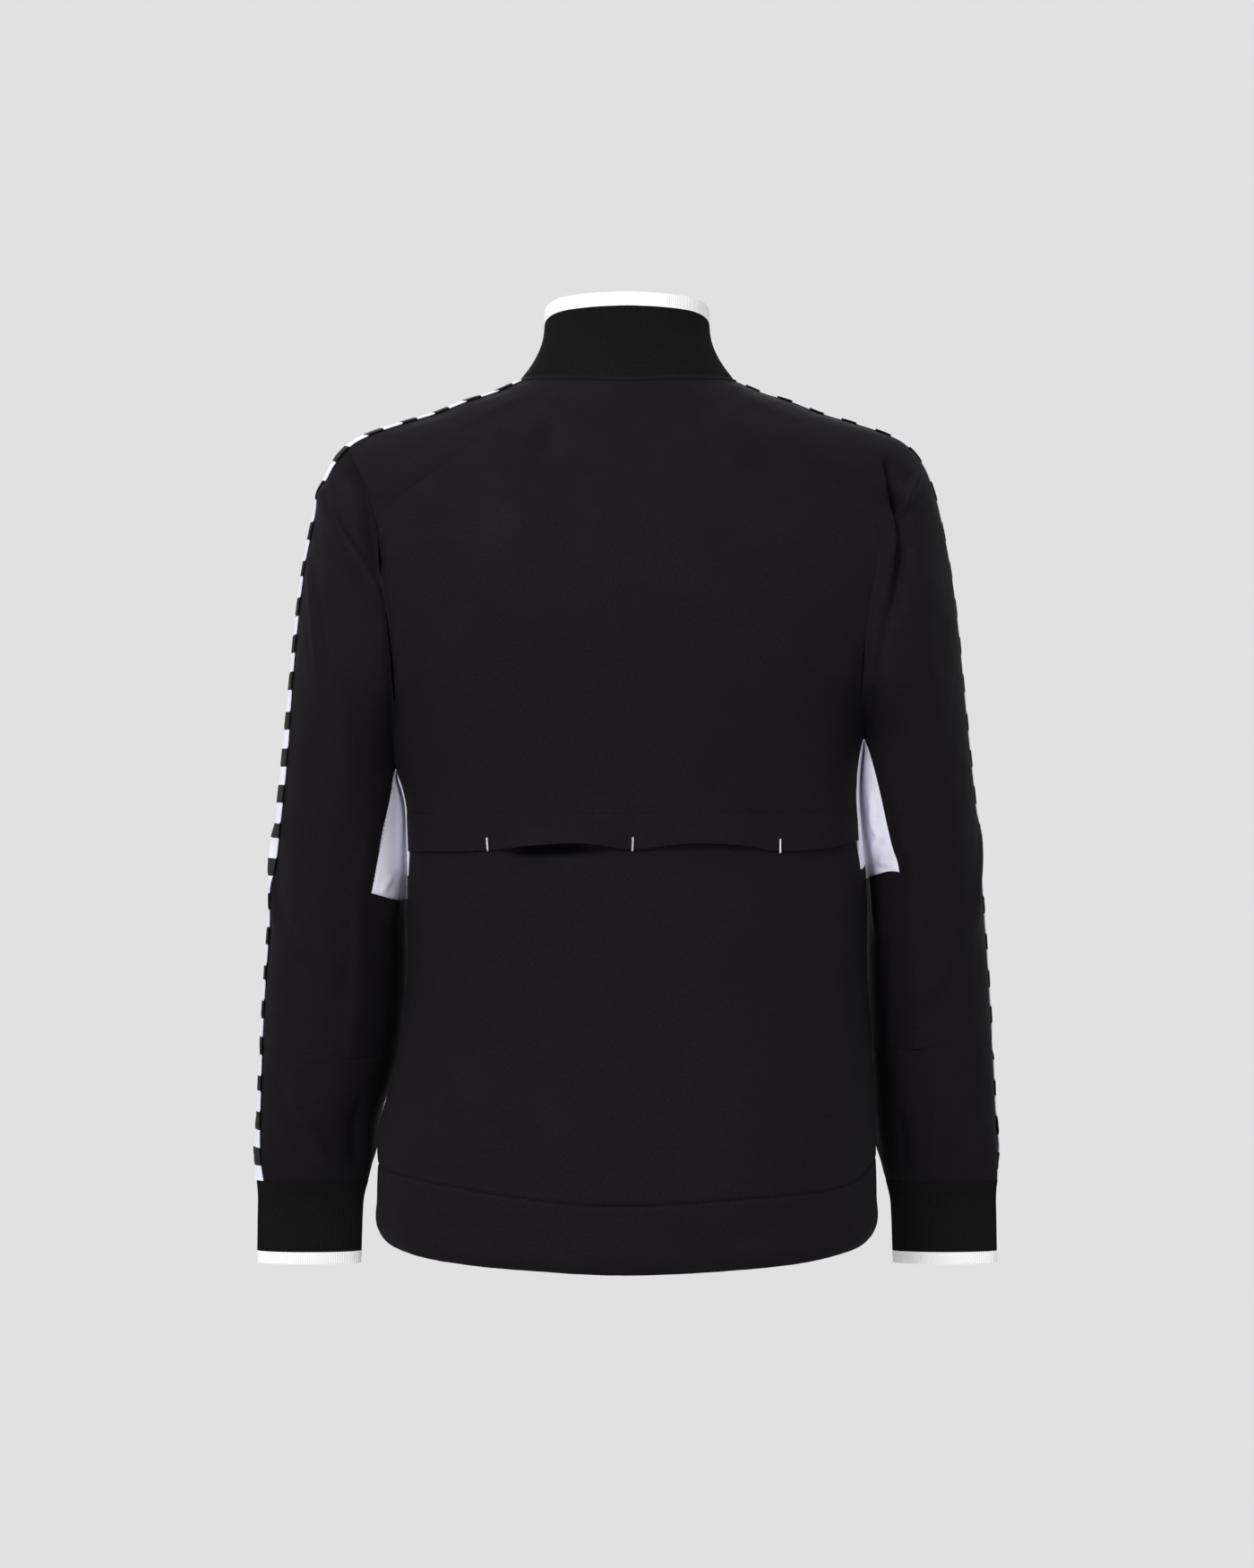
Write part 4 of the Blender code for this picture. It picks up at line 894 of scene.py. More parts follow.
def place_on(nodes, view, path, step=1.5 * MM):
    """Points and normals on the outside of these pieces along a line given in picture units."""
    path = np.array(path, float)
    fine = [path[:1]]
    for a, b in zip(path[:-1], path[1:]):
        fine.append(np.linspace(a, b, max(2, int(np.hypot(*(b - a)) / 2) + 1))[1:])
    trees = []
    for node in nodes:
        grid = LOOKS[node]
        index = np.arange(grid.shape[0] * grid.shape[1]).reshape(grid.shape[:2])
        corners = [index[:-1, :-1], index[:-1, 1:], index[1:, 1:], index[1:, :-1]]
        quads = np.stack(corners, -1).reshape(-1, 4).tolist()
        trees.append(BVHTree.FromPolygons(grid.reshape(-1, 3).tolist(), quads))
    found = []
    for a, b in np.concatenate(fine):
        if view == "back":
            start = Vector((0, CAMERA_AWAY, -CAMERA_DOWN))
            way = Vector(((MIDDLE_X - a) / FOCAL, -1, (MIDDLE_Y - b) / FOCAL))
        else:
            start = Vector(((a - MIDDLE_X) * UNIT, -2, (MIDDLE_Y - b) * UNIT - CAMERA_DOWN))
            way = Vector((0, 1, 0))
        hits = [tree.ray_cast(start, way.normalized()) for tree in trees]
        hits = [hit for hit in hits if hit[0] is not None]
        if hits:
            hit = min(hits, key=lambda h: h[3])
            facing = hit[1] if hit[1].dot(way) < 0 else -hit[1]
            found.append((np.array(hit[0]), np.array(facing)))
    points, facing = (np.array(values) for values in zip(*found))
    at = np.concatenate([[0], np.cumsum(np.linalg.norm(np.diff(points, axis=0), axis=1))])
    new = np.linspace(0, at[-1], max(2, int(at[-1] / step)))
    return new, read_at(new, at, points), read_at(new, at, facing)


def tube(mesh, points, radius, sides=6):
    """A thread along points, drawn in to nothing at both ends."""
    rings = []
    last = len(points) - 1
    for k, point in enumerate(points):
        along = Vector(points[min(k + 1, last)] - points[max(k - 1, 0)]).normalized()
        across = along.orthogonal().normalized()
        other = along.cross(across)
        r = radius * (0.35 if k in (0, last) else 1.0)
        ring = []
        for t in np.linspace(0, 2 * math.pi, sides, endpoint=False):
            out = math.cos(t) * across + math.sin(t) * other
            ring.append(mesh.verts.new(Vector(point) + r * out))
        rings.append(ring)
    for a, b in zip(rings[:-1], rings[1:]):
        for k in range(sides):
            mesh.faces.new((a[k], a[(k + 1) % sides], b[(k + 1) % sides], b[k]))
    mesh.faces.new(rings[0][::-1])
    mesh.faces.new(rings[-1])


STITCH = 2.2 * MM
DIP_SHARES = np.array([0, 0.2, 0.5, 0.8, 1.0])  # along a stitch, which dips in at its ends
DIPS = np.array([-0.6, 0.35, 0.55, 0.35, -0.6])


def sew(
    name, nodes, view, lines, gap=1.1 * MM, radius=0.15 * MM, finish="thread_black", slot="cloth"
):
    """Rows of stitches on these pieces, each dipping into the cloth at its ends."""
    mesh = bmesh.new()
    for line in lines:
        at, points, facing = place_on(nodes, view, line)
        for start in np.arange(gap, at[-1] - STITCH, STITCH + gap):
            here = start + STITCH * DIP_SHARES
            lift = radius * DIPS
            tube(mesh, read_at(here, at, points) + read_at(here, at, facing) * lift[:, None], radius)
    bmesh.ops.recalc_face_normals(mesh, faces=mesh.faces)
    trim(name, mesh, finish, slot)


def trim(name, mesh, finish, slot):
    """A small piece that rides on the garment and stands for no node."""
    piece = shell(name, mesh, 0, finish)
    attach(piece, "garment")


TACK_WIDE = 1.3 * MM
TACK_THREADS = 15
TACK_SHARES = np.array([-0.5, -0.38, 0, 0.38, 0.5])  # across the tack
TACK_LIFTS = np.array([-0.2, 0.35, 0.6, 0.35, -0.2]) * MM


def bar_tack(name, nodes, top, bottom):
    """A short band of satin stitches across the flap's edge."""
    at, points, facing = place_on(nodes, "back", [top, bottom], step=0.5 * MM)
    mesh = bmesh.new()
    run = Vector(points[-1] - points[0]).normalized()
    for k, a in enumerate(np.linspace(0, at[-1], TACK_THREADS)):
        middle = read_at(a, at, points)
        up = read_at(a, at, facing)
        up /= np.linalg.norm(up)
        side = np.array(run.cross(Vector(up)).normalized())
        slant = np.array(run) * 0.25 * MM
        width = TACK_WIDE * (1 + 0.06 * math.sin(k * 2.4))
        across = side * (TACK_SHARES * width)[:, None] + slant * TACK_SHARES[:, None] * 2
        tube(mesh, middle + across + up * TACK_LIFTS[:, None], 0.32 * MM)
    bmesh.ops.recalc_face_normals(mesh, faces=mesh.faces)
    trim(name, mesh, "thread_white", "cloth")


ZIP_LINE = np.array([(MIDDLE_X, 335), (MIDDLE_X, 1440)])  # in picture units, from the front
TOOTH_ENDS = ((-0.5, 1.0), (0.55, 0.72))  # how far out each end is, in mm, and its size
TOOTH_FACES = ((0, 1, 5, 4), (1, 2, 6, 5), (2, 3, 7, 6), (3, 0, 4, 7), (4, 5, 6, 7), (3, 2, 1, 0))


def zip_teeth(name, pitch=1.5 * MM):
    """The two interlocked rows of teeth down the middle of the closed zip."""
    mesh = bmesh.new()
    lines = [place_on(["zip_chain"], "front", ZIP_LINE + [x, 0], step=3 * MM) for x in (-0.9, 0.9)]
    count = int(min(line[0][-1] for line in lines) / pitch)
    for k in range(1, count):
        at, points, facing = lines[k % 2]
        middle = read_at(k * pitch, at, points)
        up = read_at(k * pitch, at, facing)
        up /= np.linalg.norm(up)
        across = np.array([1.0, 0, 0])
        along = np.cross(up, across)
        corners = []
        for out, size in TOOTH_ENDS:
            for sx, sz in ((-1, -1), (1, -1), (1, 1), (-1, 1)):
                aside = across * sx * 1.35 * MM * size + along * sz * 0.55 * MM * size
                corners.append(mesh.verts.new(middle + up * out * MM + aside))
        for face in TOOTH_FACES:
            mesh.faces.new([corners[i] for i in face])
    bmesh.ops.recalc_face_normals(mesh, faces=mesh.faces)
    trim(name, mesh, "teeth", "zip")


def spaced(*stops):
    """Values that run through the stops, given as value, steps, value, steps, ..., value."""
    values = [stops[0]]
    for steps, end in zip(stops[1::2], stops[2::2]):
        values += list(np.linspace(values[-1], end, steps + 1)[1:])
    return np.array(values)


# Rows that neighbouring pieces share, so that their edges follow one another.
RAGLAN_ROWS = spaced(0, 5, 0.5, 3, 0.64, 6, 1)
SLEEVE_GUSSET_ROWS = spaced(0.294, 1, 0.302, 1, 0.315, 3, GUSSET_ON_SLEEVE)
BODY_GUSSET_ROWS = spaced(0.294, 1, 0.302, 1, 0.315, 2, GUSSET_ON_BODY)
BODY_ROWS = spaced(GUSSET_ON_BODY, 1, 0.400, 2, 0.465, 3, 0.575)
ELBOW_ROWS = spaced(GUSSET_ON_SLEEVE, 2, 0.465)[1:]
FOREARM_SHARES = np.array([0, 0.25, 0.5, 0.75, 0.9, 1.0])


def ease_to(points, first_row, rows):
    """The grid with its first row moved onto a curve, and the move faded out over some rows."""
    fade = 1 - smooth(np.arange(len(points)) / rows)
    return points + (first_row - points[0]) * fade[:, None, None]


def seam_turns(t, front):
    row = RAGLAN(t)
    if front:
        return body_turn(row.front_x, row.front_down, True)
    return body_turn(row.back_x, row.back_down, False)


BODY_INSIDE = np.array([0.0, 0.0, -0.35])
BACK_COLUMNS = 21  # of the lower back and the hem band between the side panels' edges
FLAP_FALLS_TO = 0.354  # where the flap reaches its full lift
UNDER_FLAP_FROM = 0.362  # where the lower back starts to come out from under the flap


def upper_back():
    t = RAGLAN_ROWS
    down = np.concatenate([RAGLAN(t).back_down, BODY_GUSSET_ROWS[:4], [1.0]])
    edges = []
    for side in (-1, 1):
        below = GUSSET_BODY[side](np.minimum(down[len(t) :], FLAP_END)).back_turn
        edges.append(side * np.append(seam_turns(t, False), below)[:, None])
    u = np.linspace(-1, 1, 27)
    turn = edges[0] + (edges[1] - edges[0]) * (u + 1) / 2
    low = np.repeat(down[:, None], len(u), axis=1)
    low[-1] = FLAP(body_point(turn[-1], 0.355)[:, 0]).down
    lift = FLAP(body_point(turn, np.minimum(low, 0.36))[..., 0]).lift
    lift = lift * smooth((low - FLAP_LIFTS_FROM) / (FLAP_FALLS_TO - FLAP_LIFTS_FROM))
    points = body_point(turn, low, lift)
    points = ease_to(points, neck_at(RAGLAN(0).back_x * u, False), 4)
    panel("back_upper", points, CLOTH, "cloth", BODY_INSIDE)


def hem_turns_back():
    """The turns of the back's columns at the hem seam."""
    right, left = (side * (GUSSET_BODY[side](1.0).back_turn - 0.6) for side in (-1, 1))
    return np.concatenate([[-SIDE_SEAM], np.linspace(right, left, BACK_COLUMNS), [SIDE_SEAM]])


def hem_turns_front(side):
    """The turns of a front's columns at the hem seam."""
    zip_turn = 180 - math.degrees(math.atan(ZIP_HALF_GAP / BODY(1.0).front))
    return np.append(np.linspace(zip_turn, GUSSET_BODY[side](1.0).front_turn, 10), SIDE_SEAM)


def lower_back():
    down = np.concatenate([spaced(LOWER_BACK_TOP, 2, 0.345), BODY_ROWS, [1.0]])
    edges = [side * (GUSSET_BODY[side](down).back_turn - 0.6)[:, None] for side in (-1, 1)]
    across = edges[0] + (edges[1] - edges[0]) * np.linspace(0, 1, BACK_COLUMNS)
    side_column = np.full((len(down), 1), SIDE_SEAM)
    turn = np.hstack([-side_column, across, side_column])
    low = np.repeat(down[:, None], turn.shape[1], axis=1)
    low[-1] = hem_seam(turn[-1])
    eased = smooth((low - UNDER_FLAP_FROM) / (UNDER_FLAP_ENDS - UNDER_FLAP_FROM))
    under = UNDER_FLAP * (1 - eased)
    under *= np.where(low < GUSSET_ON_BODY - 1e-6, 1, 1 - smooth((np.abs(turn) - 60) / 19))
    keep = np.ones((len(down) - 1, turn.shape[1] - 1), bool)
    above = down[:-1] < GUSSET_ON_BODY - 1e-6
    keep[above, 0] = keep[above, -1] = False
    panel("back_lower", body_point(turn, low, -under), CLOTH, "cloth", BODY_INSIDE, keep)


def centre_down(t):
    """How low the rows beside the raglan seam are at the centre front."""
    return 0.065 + 0.220 * t


def front(side_name, side):
    t = RAGLAN_ROWS
    down = np.concatenate([RAGLAN(t).front_down, BODY_GUSSET_ROWS[:-1], BODY_ROWS, [1.0]])
    edge = np.append(seam_turns(t, True), GUSSET_BODY[side](down[len(t) :]).front_turn)
    middle = np.append(centre_down(t), down[len(t) :])
    u = np.linspace(0, 1, 10)
    zip_turn = 180 - np.degrees(np.arctan(ZIP_HALF_GAP / BODY(middle).front))
    turn = zip_turn[:, None] + (edge - zip_turn)[:, None] * u
    turn = np.hstack([turn, np.full((len(down), 1), SIDE_SEAM)])
    across = np.append(u, 1.0) ** 2
    low = middle[:, None] + (down - middle)[:, None] * across
    low[-1] = hem_seam(side * turn[-1])
    keep = np.ones((len(down) - 1, turn.shape[1] - 1), bool)
    keep[down[:-1] < GUSSET_ON_BODY - 1e-6, -1] = False
    points = body_point(side * turn, low)
    neck_x = ZIP_HALF_GAP + (RAGLAN(0).front_x - ZIP_HALF_GAP) * u
    neck_x = np.append(neck_x, neck_x[-1])
    points = ease_to(points, neck_at(side * neck_x, True), 4)
    panel(f"front_{side_name}", points, CLOTH, "cloth", BODY_INSIDE, keep)


def hem(side_name, turn):
    share = np.array([0.0, 0.12, 0.5, 0.92, 1.0])[:, None]
    low = hem_seam(turn) * (1 - share) + hem_end(turn) * share
    turned_under = 1.5 * MM + 2.0 * MM * np.abs(np.sin(np.radians(turn)))
    roll = 0.8 * MM * np.sin(math.pi * share) - turned_under * smooth((share - 0.9) / 0.1)
    panel(f"hem_{side_name}", body_point(turn, low, roll), CLOTH, "cloth", BODY_INSIDE)


def sleeve_inside(side):
    return np.array([side * 0.215, -0.015, -0.20])


def upper_sleeve(side_name, side, front_half):
    sign = -1 if front_half else 1
    start = SEAM_UNDER_TAPE[side]
    t = RAGLAN_ROWS
    end = RAGLAN(t).front_turn if front_half else RAGLAN(t).back_turn
    columns, more = 6, 3
    u = np.linspace(0, 1, columns + 1)
    turn = start + (sign * end - start)[:, None] * u
    grid_t = np.repeat(t[:, None], columns + 1, axis=1)
    top = raglan_point(grid_t, turn, side)
    top = ease_to(top, neck_point(side * (90 - turn[0])), 4)
    if not front_half:
        top = folded(top, grid_t, turn, side, sleeve_inside(side))
    top = np.concatenate([top, np.repeat(top[:, -1:], more, axis=1)], axis=1)
    down = np.concatenate([SLEEVE_GUSSET_ROWS, ELBOW_ROWS, [1.0]])
    edges = GUSSET_SLEEVE[side](down)
    low_edge = edges.front_turn if front_half else edges.back_turn
    first = start + (sign * low_edge - start)[:, None] * u
    rest = sign * (low_edge[:, None] + (180 - low_edge)[:, None] * np.linspace(0, 1, more + 1)[1:])
    turn = np.hstack([first, rest])
    low = np.repeat(down[:, None], turn.shape[1], axis=1)
    low[-1] = forearm_seam(turn[-1], side)
    tube = sleeve_point(low, turn, side)
    points = np.concatenate([top, tube])
    keep = np.ones((len(points) - 1, columns + more), bool)
    above = len(t) - 1 + int((down <= GUSSET_ON_SLEEVE + 1e-6).sum())
    keep[:above, columns:] = False
    half = "front" if front_half else "back"
    panel(f"sleeve_{half}_{side_name}", points, CLOTH, "cloth", sleeve_inside(side), keep)


def forearm(side_name, side, front_half):
    sign = -1 if front_half else 1
    turn = np.linspace(SEAM_UNDER_TAPE[side], sign * 180, 9)
    share = FOREARM_SHARES[:, None]
    low = forearm_seam(turn, side) * (1 - share) + CUFF_SEAM * share
    half = "front" if front_half else "back"
    inside = np.array([side * 0.245, -0.052, -0.57])
    panel(f"forearm_{half}_{side_name}", sleeve_point(low, turn, side), CLOTH, "cloth", inside)


def gusset(side_name, side):
    """A band over the underarm: down the sleeve's inner side, and down the body's side."""

    def pinched(down):
        """Places across the band, drawn in a little at its ends where it turns over."""
        ends = 0.024 * (1 - smooth((down - 0.290) / 0.025))[:, None]
        return ends + (1 - 2 * ends) * np.linspace(0, 1, 8)

    sleeve_down = SLEEVE_GUSSET_ROWS[::-1]
    row = GUSSET_SLEEVE[side](sleeve_down)
    first, last = row.back_turn[:, None], 360 - row.front_turn[:, None]
    on_sleeve = sleeve_point(sleeve_down[:, None], first + (last - first) * pinched(sleeve_down), side)
    body_down = BODY_GUSSET_ROWS
    row = GUSSET_BODY[side](body_down)
    first, last = row.back_turn[:, None], row.front_turn[:, None]
    on_body = body_point(side * (first + (last - first) * pinched(body_down)), body_down[:, None])
    crease = (on_sleeve[-1] + on_body[0]) / 2
    crease[:, 2] = -ARMPIT - 2.5 * MM
    points = np.concatenate([on_sleeve, crease[None], on_body])
    panel(f"gusset_{side_name}", points, CLOTH, "mesh", np.array([side * 0.187, -0.01, -0.2]))


def turn_at(distance, behind, before):
    """The turns that lie these distances round a section from its outer line, given as half
    widths and depths behind and before that line. A distance below 0 is on the front."""
    turn = np.radians(np.linspace(0, 150, 76))
    found = []
    for sign, (half, depth) in ((1, behind), (-1, before)):
        step = np.hypot(half * np.sin(turn), depth * np.cos(turn)) * (turn[1] - turn[0])
        along = np.concatenate([[0], np.cumsum((step[1:] + step[:-1]) / 2)])
        found.append(np.degrees(np.interp(sign * distance, along, turn)))
    return found[0] - found[1]


def block_tape(side_name, side):
    """The tape from the neck seam over the shoulder and down the sleeve, lying on it."""
    across = np.linspace(0, TAPE_WIDTH, TAPE_COLUMNS)
    t = RAGLAN_ROWS
    row = RAGLAN(t)
    turns = []
    for k, at in enumerate(t):
        spans = []
        for is_front, whole in ((False, row.back_turn[k]), (True, row.front_turn[k])):
            out = np.array([row.out_x[k], row.out_y[k], -row.out_down[k]])
            gap = seam_point(at, side, is_front) - out
            wide = math.hypot(gap[0], gap[2]) / (1 - math.cos(math.radians(whole)))
            spans.append((wide, abs(gap[1]) / math.sin(math.radians(whole))))
        distance = TAPE_EDGE[side](row.out_down[k]).back - across
        turns.append(turn_at(distance, *spans))
    turns = np.array(turns)
    top = raglan_point(np.repeat(t[:, None], len(across), axis=1), turns, side)
    top = ease_to(top, neck_point(side * (90 - turns[0])), 4)
    seam = forearm_seam(0, side)
    low = seam + (CUFF_SEAM - seam) * FOREARM_SHARES
    down = np.concatenate([SLEEVE_GUSSET_ROWS, ELBOW_ROWS, low])
    turns = []
    for at in down:
        row = SLEEVE(at)
        half = (row.outer - row.inner) / 2
        distance = TAPE_EDGE[side](at).back - across
        turns.append(turn_at(distance, (half, row.back), (half, row.front)))
    points = np.concatenate([top, sleeve_point(down[:, None], np.array(turns), side)])
    proud = TAPE + SEAM_GAP + TAPE_PROUD
    panel(f"sleeve_tape_{side_name}", points, TAPE, "tape", sleeve_inside(side), outward=proud)


def cuff(side_name, side):
    turn = np.linspace(0, 360, CUFF_COLUMNS)
    inside = np.array(CUFF_MIDDLE) * [side, 1, 1]
    down = spaced(CUFF_SEAM, 4, CUFF_TIP)[:, None]
    drawn_in = -RIB_DRAWN_IN * smooth((down - CUFF_SEAM) / (6 * MM))
    points = sleeve_point(down, turn, side)
    points = points + normals(points, inside) * np.broadcast_to(drawn_in, points.shape[:2])[..., None]
    points[:, -1] = points[:, 0]
    panel(f"cuff_{side_name}", points, RIB, "rib", inside)
    down = np.array([CUFF_TIP, CUFF_END])[:, None]
    tip = sleeve_point(down, turn, side)
    tip = tip - normals(tip, inside) * RIB_DRAWN_IN
    tip[:, -1] = tip[:, 0]
    panel(f"cuff_tip_{side_name}", tip, RIB, "tip", inside)


def collar_point(turn, share, above=0.0):
    """A point of the collar, share of the way from the neck seam to the top of the black rib."""
    s, c = np.sin(np.radians(turn)), np.cos(np.radians(turn))
    rim_depth = np.where(c < 0, RIM_FRONT, RIM_BACK)
    base = neck_point(turn)
    rim = stack(RIM_HALF * s, rim_depth * c, NECK(np.abs(turn)).rib_top)
    narrowed = 1 - (1 - np.minimum(share, 1)) ** COLLAR_HOLLOW
    blend = np.stack(np.broadcast_arrays(narrowed, narrowed, share), axis=-1)
    point = base + (rim - base) * blend
    point[..., 2] += above
    return point


def collar():
    end = 180 - math.degrees(math.asin(ZIP_HALF_GAP / RIM_HALF))
    turn = np.linspace(-end, end, COLLAR_COLUMNS)
    inside = np.array([0.0, 0.0, 0.0])
    share = np.array(COLLAR_SHARES)[:, None]
    panel("collar", collar_point(turn, share)[::-1], RIB, "rib", inside)
    above = np.array([0.0, 0.5, 1.0])[:, None] * COLLAR_TIP
    tip = collar_point(turn, np.ones_like(above), above)[::-1]
    panel("collar_tip", tip, RIB, "tip", inside + np.array([0, 0, 0.03]))


def front_line(hem_share=1.0):
    """The centre front from the hem band, or that share of it, up to the collar's top."""
    shares = np.array([0, 0.12, 0.5, hem_share])
    hem_rows = hem_seam(180) + (hem_end(180) - hem_seam(180)) * shares
    down = [centre_down(RAGLAN_ROWS[1:]), BODY_GUSSET_ROWS[:-1], BODY_ROWS, hem_rows]
    body = body_point(180.0, np.concatenate(down)[::-1])
    neck = collar_point(np.array(180.0), spaced(0.0, 3, 1.0))
    tip = neck[-1:] + np.array([[0, 0, COLLAR_TIP]])
    return np.concatenate([body, neck, tip])


def strip(name, left, right, line, out, thickness, finish, columns=1):
    """A narrow strip along the centre front between two distances from it."""
    across = np.linspace(left, right, columns + 1)
    points = np.repeat(line[:, None], columns + 1, axis=1)
    points[..., 0] += across
    slope = np.gradient(line, axis=0)
    normal = np.stack([np.zeros(len(line)), -slope[:, 2], slope[:, 1]], axis=1)
    normal /= np.linalg.norm(normal, axis=1, keepdims=True)
    points = points + normal[:, None] * out
    panel(name, points, thickness, finish, np.array([0, 0.0, -0.33]))


def zip_strips():
    line = front_line()
    below_neck = front_line(0.8)[:-5]
    behind = -(CLOTH + 2 * SEAM_GAP)
    strip("zip_tape_left", 3.1 * MM, 14 * MM, below_neck, behind, 0.8 * MM, "zip")
    strip("zip_tape_right", -14 * MM, -3.1 * MM, below_neck, behind, 0.8 * MM, "zip")
    strip("zip_chain", -2.8 * MM, 2.8 * MM, line[:-1], 0.4 * MM, 2.0 * MM, "zip", 2)


# Where the tape's pale blocks start, along it from the neck seam, and the share that is pale.
# They look shorter over the shoulder, where the tape also runs forwards.
SHOULDER_STARTS = [-32.9, -6.7, 19.5, 45.7, 72.0, 98.2, 126.5, 159.0, 191.8]
PALE_STARTS = np.array([*SHOULDER_STARTS, *(224.6 + 29.5 * np.arange(19))]) * MM
PALE_SHARE = 0.53


def is_dark(v):
    k = np.clip(np.searchsorted(PALE_STARTS, v, "right") - 1, 0, len(PALE_STARTS) - 2)
    return (v - PALE_STARTS[k]) / (PALE_STARTS[k + 1] - PALE_STARTS[k]) > PALE_SHARE


def block_rows(total):
    """Rows for a tape this long, with close ones on both sides of every block's edge."""
    edges = np.concatenate([PALE_STARTS[:-1], PALE_STARTS[:-1] + PALE_SHARE * np.diff(PALE_STARTS)])
    edges = edges[(edges > 0.5 * MM) & (edges < total - 0.5 * MM)]
    near = [edges + d for d in (-0.35 * MM, -0.12 * MM, 0.12 * MM, 0.35 * MM)]
    even = np.arange(0, total, 2.4 * MM)
    even = even[np.abs(even[:, None] - edges[None]).min(axis=1) > 0.8 * MM]
    return np.unique(np.concatenate([[0.0, total], even, *near]))


def dark_faces(v):
    """The faces of the tape's dark blocks."""
    middle = (v[1:] + v[:-1]).mean(axis=1, keepdims=True) / 2
    return np.repeat(is_dark(middle), v.shape[1] - 1, axis=1)


def raised_blocks(v):
    """The dark blocks are woven thicker than the pale ones."""
    return np.broadcast_to(np.where(is_dark(v.mean(axis=1, keepdims=True)), 0.5 * MM, 0.0), v.shape)


def collar_strip(v):
    """The narrow strip of body cloth along the collar's seam."""
    middle = (v[1:, 1:] + v[:-1, 1:]) / 2
    return v[-1:, 1:] - middle < 3.2 * MM


def raised_strip(v):
    """The strip stands a little over the knit, and the knit is drawn in where it is sewn."""
    up = v[-1:] - v
    on = smooth(up / (0.6 * MM)) * smooth((3.8 * MM - up) / (0.7 * MM))
    drawn = np.exp(-(((up - 4.6 * MM) / (1.4 * MM)) ** 2))
    return 0.75 * MM * on - 0.35 * MM * drawn


# How each piece is dressed, by the start of its name.
PANEL_HOW = {
    "collar": {
        "grain": "grid", "spacing": 2 * MM, "seams": "b", "held": "stretched", "unevenness": 0.6,
        "second": collar_strip, "relief": raised_strip,
    },
    "collar_tip": {"grain": "grid", "spacing": 3 * MM, "seams": "", "held": "stretched"},
    "cuff": {"grain": "grid", "spacing": 3 * MM, "seams": "t", "held": "stretched", "unevenness": 0.6},
    "cuff_tip": {"grain": "grid", "spacing": 3 * MM, "seams": "", "held": "stretched"},
    "sleeve_tape": {
        "grain": "grid", "spacing": 3 * MM, "seams": "", "unevenness": 0.0, "pucker": 0.0,
        "rows_at": block_rows, "second": dark_faces, "relief": raised_blocks,
    },
    "sleeve_back": {"spacing": 2.2 * MM, "edge_dip": 0.3 * MM, "neck_reach": 0.7 * MM},
    "sleeve_front": {"spacing": 3.2 * MM, "edge_dip": 0.3 * MM, "neck_reach": 1.1 * MM},
    "front_": {"edge_dip": 0.3 * MM, "neck_reach": 1.1 * MM},
    "hem_front": {"edge_dip": 0.7 * MM, "reach": 0.9 * MM},
    "forearm": {"spacing": 3.0 * MM},
    "zip_tape": {"grain": "grid", "spacing": 6 * MM, "seams": "", "unevenness": 0.0, "pucker": 0.0},
    "zip_chain": {
        "held": None, "grain": "grid", "spacing": 6 * MM, "seams": "", "unevenness": 0.0,
        "pucker": 0.0,
    },
    "gusset": {"spacing": 2.2 * MM},
    "back_upper": {"seams": "tlr", "edge_dip": 0.3 * MM, "neck_reach": 0.7 * MM},
    "back_lower": {"edge_dip": 1.4 * MM, "reach": 0.15 * MM},
    "hem": {"edge_dip": 1.4 * MM, "reach": 0.15 * MM},
}

# ---- materials ----


